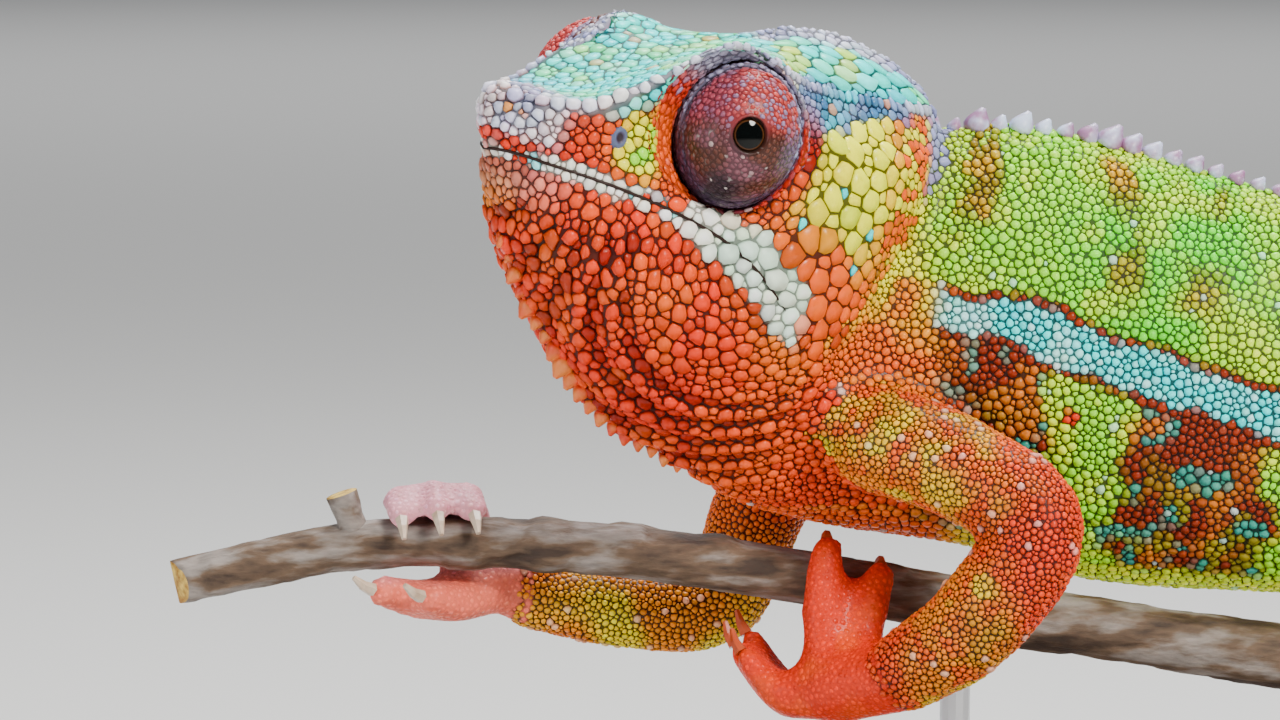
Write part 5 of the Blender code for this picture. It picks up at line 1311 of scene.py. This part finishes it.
hits = [hide_tree.ray_cast(Vector(from_head(ahead, 0, -60)), Vector(UP))[0] for ahead in np.linspace(12.5, -18.0, 40)]
chin_line = smoothed(np.array([hit[:] for hit in hits if hit]), 8)
slope = unit_rows(np.gradient(chin_line, axis=0))
chin_rise = unit_rows(np.cross(slope, LEFT))
chin_rise *= np.sign(-(chin_rise @ UP))[:, None]
full = np.interp(np.linspace(0, 1, len(chin_line)), (0, 0.2, 0.8, 1), (0.6, 1, 1, 0.5))
gular = comb("gular_crest", chin_line, chin_rise, slope, full,
             spine_material("gular_horn", SCARLET, paint(0.95, 0.52, 0.20)),
             spacing=1.9, base_radius=0.85, height=1.9, lean=0.35)
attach(gular, "root")


# ---- Claws
# Short hooked claws of smooth streaked horn, one on each finger and toe, pale but for the
# reddened ones of the near hand.
def claw_horn(name, dark, light):
    made, tree, shader = new_material(name)
    feed(tree, shader, Base_Color=mixed(tree, noise(tree, 900), (*dark, 1), (*light, 1)), Roughness=0.28)
    return made


horn = claw_horn("claw_horn", paint(0.62, 0.48, 0.36), paint(0.90, 0.84, 0.76))
red_horn = claw_horn("claw_horn_red", paint(0.62, 0.20, 0.08), paint(0.80, 0.34, 0.16))
for name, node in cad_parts.items():
    if name.startswith("claw"):
        node.data.materials.clear()
        node.data.materials.append(red_horn if name.startswith("claw_hand_left") else horn)


# ---- Perch
# A dead branch sawn to length: grey flaking bark with knots and long cracks, a broken twig
# stub near its tip, and raw yellow wood at the saw cuts.
PERCH_LINE = np.array([(-117.4, 83.3, 2.35), (-99.3, 87.3, 2.6), (-85.0, 87.8, 2.75), (-68.0, 86.5, 2.8),
                       (-52.0, 84.1, 2.85), (-30.0, 80.1, 3.1), (0.0, 75.3, 3.5), (40.0, 71.0, 3.9),
                       (90.0, 67.6, 4.2)])


def bark_tube(line, radii, around):
    """Rings round a line with bark relief, closed at both ends by flat cuts."""
    ways = unit_rows(np.gradient(line, axis=0))
    side = unit_rows(np.cross(ways, (0.02, 1.0, 0.05)))
    other = np.cross(side, ways)
    turn = np.linspace(0, 2 * math.pi, around, endpoint=False)
    rings = []
    for k, (point, radius) in enumerate(zip(line, radii)):
        spokes = np.cos(turn)[:, None] * side[k] + np.sin(turn)[:, None] * other[k]
        rings.append(point + (radius + bark_lift(point + radius * spokes))[:, None] * spokes)
    inner = [line[0] + 0.55 * (rings[0] - line[0]), line[-1] + 0.55 * (rings[-1] - line[-1])]
    places = np.concatenate([inner[0]] + rings + [inner[1], line[:1], line[-1:]])
    faces = turned_over(ring_faces(len(rings) + 2, around, len(places) - 2, len(places) - 1))
    cuts = np.zeros(len(faces), np.int32)
    cuts[:around] = cuts[-3 * around:] = 1
    return places, faces, cuts


def bark_lift(points):
    """The bark's knots, long cracks and fine roughness."""
    knots = 0.5 * ease(0.62, 0.85, grain(points, 4.5, 201)) - 0.25 * ease(0.6, 0.9, grain(points, 3.0, 203))
    cracks = -0.22 * ease(0.62, 0.8, grain(points * (0.22, 1, 1), 0.9, 202))
    return 0.75 * knots + cracks + 0.16 * (grain(points, 1.1, 204) - 0.5)


path_x = np.linspace(PERCH_LINE[0, 0], PERCH_LINE[-1, 0], 300)
path_z = smoothed(np.interp(path_x, PERCH_LINE[:, 0], PERCH_LINE[:, 1]), 60)
path_r = np.interp(path_x, PERCH_LINE[:, 0], PERCH_LINE[:, 2])
perch_line = np.column_stack([path_x, np.zeros(300), path_z])
perch_parts = [bark_tube(perch_line, path_r, 40)]
# The thin end is sawn on the slant, so its raw face turns to the front.
sawn = perch_parts[0][0]
slant = (1 - ease(0, 6, sawn[:, 0] + 117.4)) * np.clip(-sawn[:, 1], -2.4, 2.4)
sawn[:, 0] += 0.75 * np.maximum(slant, 0)
stub_line = np.array([(-98.2, 0.0, 87.5), (-98.4, -0.1, 89.0), (-98.8, -0.2, 90.4), (-99.2, -0.25, 91.6),
                      (-99.6, -0.3, 92.8)])
perch_parts.append(bark_tube(stub_line, np.array([1.9, 1.65, 1.5, 1.62, 1.72]), 24))
perch_places = np.concatenate([p[0] for p in perch_parts])
perch_faces = perch_parts[0][1] + [tuple(v + len(sawn) for v in face) for face in perch_parts[1][1]]


def ramp(tree, share, *stops):
    """Tones between stops of a position and a paint; any third stop lies between the first two."""
    made = tree.nodes.new("ShaderNodeValToRGB")
    elements = made.color_ramp.elements
    for k, (position, tone) in enumerate(stops):
        element = elements[k] if k < 2 else elements.new(position)
        element.position, element.color = position, (*tone, 1)
    feed(tree, made, share)
    return made.outputs["Color"]


bark, tree, shader = new_material("flaking_bark")
fibres, flakes = noise(tree, 1500, 5, (0.28, 1, 1)), noise(tree, 420, 7, (0.28, 1, 1))
tones = ramp(tree, flakes, (0.36, paint(0.25, 0.18, 0.13)), (0.60, paint(0.60, 0.56, 0.53)),
             (0.48, paint(0.43, 0.34, 0.26)))
darker = mixed(tree, 0.75, tones, fibres, blend_type="MULTIPLY")
feed(tree, shader, Roughness=0.72,
     Base_Color=add(tree, "ShaderNodeVectorMath", darker, operation="SCALE", Scale=1.25),
     Normal=add(tree, "ShaderNodeBump", Strength=0.9, Distance=0.0003, Height=maths(tree, "ADD", fibres, flakes)))

raw_wood, tree, shader = new_material("sawn_wood")
feed(tree, shader, Roughness=0.75,
     Base_Color=ramp(tree, noise(tree, 900, 4), (0.35, paint(0.62, 0.42, 0.14)), (0.62, paint(0.92, 0.78, 0.38))))
branch = mesh_object("branch", perch_places, perch_faces, bark)
branch.data.materials.append(raw_wood)
branch.data.polygons.foreach_set("material_index", np.concatenate([p[2] for p in perch_parts]))
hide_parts("perch")
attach(branch, "root")


# ---- Stand
# A block of dark varnished wood on the table, with two thin steel rods let into it that carry
# the branch.
varnish, tree, shader = new_material("dark_varnished_wood")
wood_grain = noise(tree, 260, 6, (0.12, 1.0, 1.0))
feed(tree, shader, Roughness=0.38, Coat_Weight=0.4, Coat_Roughness=0.15,
     Base_Color=ramp(tree, wood_grain, (0.35, paint(0.13, 0.08, 0.06)), (0.65, paint(0.33, 0.22, 0.16))),
     Normal=add(tree, "ShaderNodeBump", Strength=0.3, Distance=0.0002, Height=wood_grain))
steel, tree, shader = new_material("brushed_rod_steel")
brushing = noise(tree, 700, stretch=(1.0, 1.0, 14.0))
feed(tree, shader, Base_Color=(0.56, 0.56, 0.58, 1), Metallic=1.0,
     Roughness=add(tree, "ShaderNodeMapRange", Value=brushing, To_Min=0.22, To_Max=0.45))
for name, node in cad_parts.items():
    if name.startswith("stand"):
        node.data.materials.clear()
        node.data.materials.append(varnish if name == "stand_base" else steel)
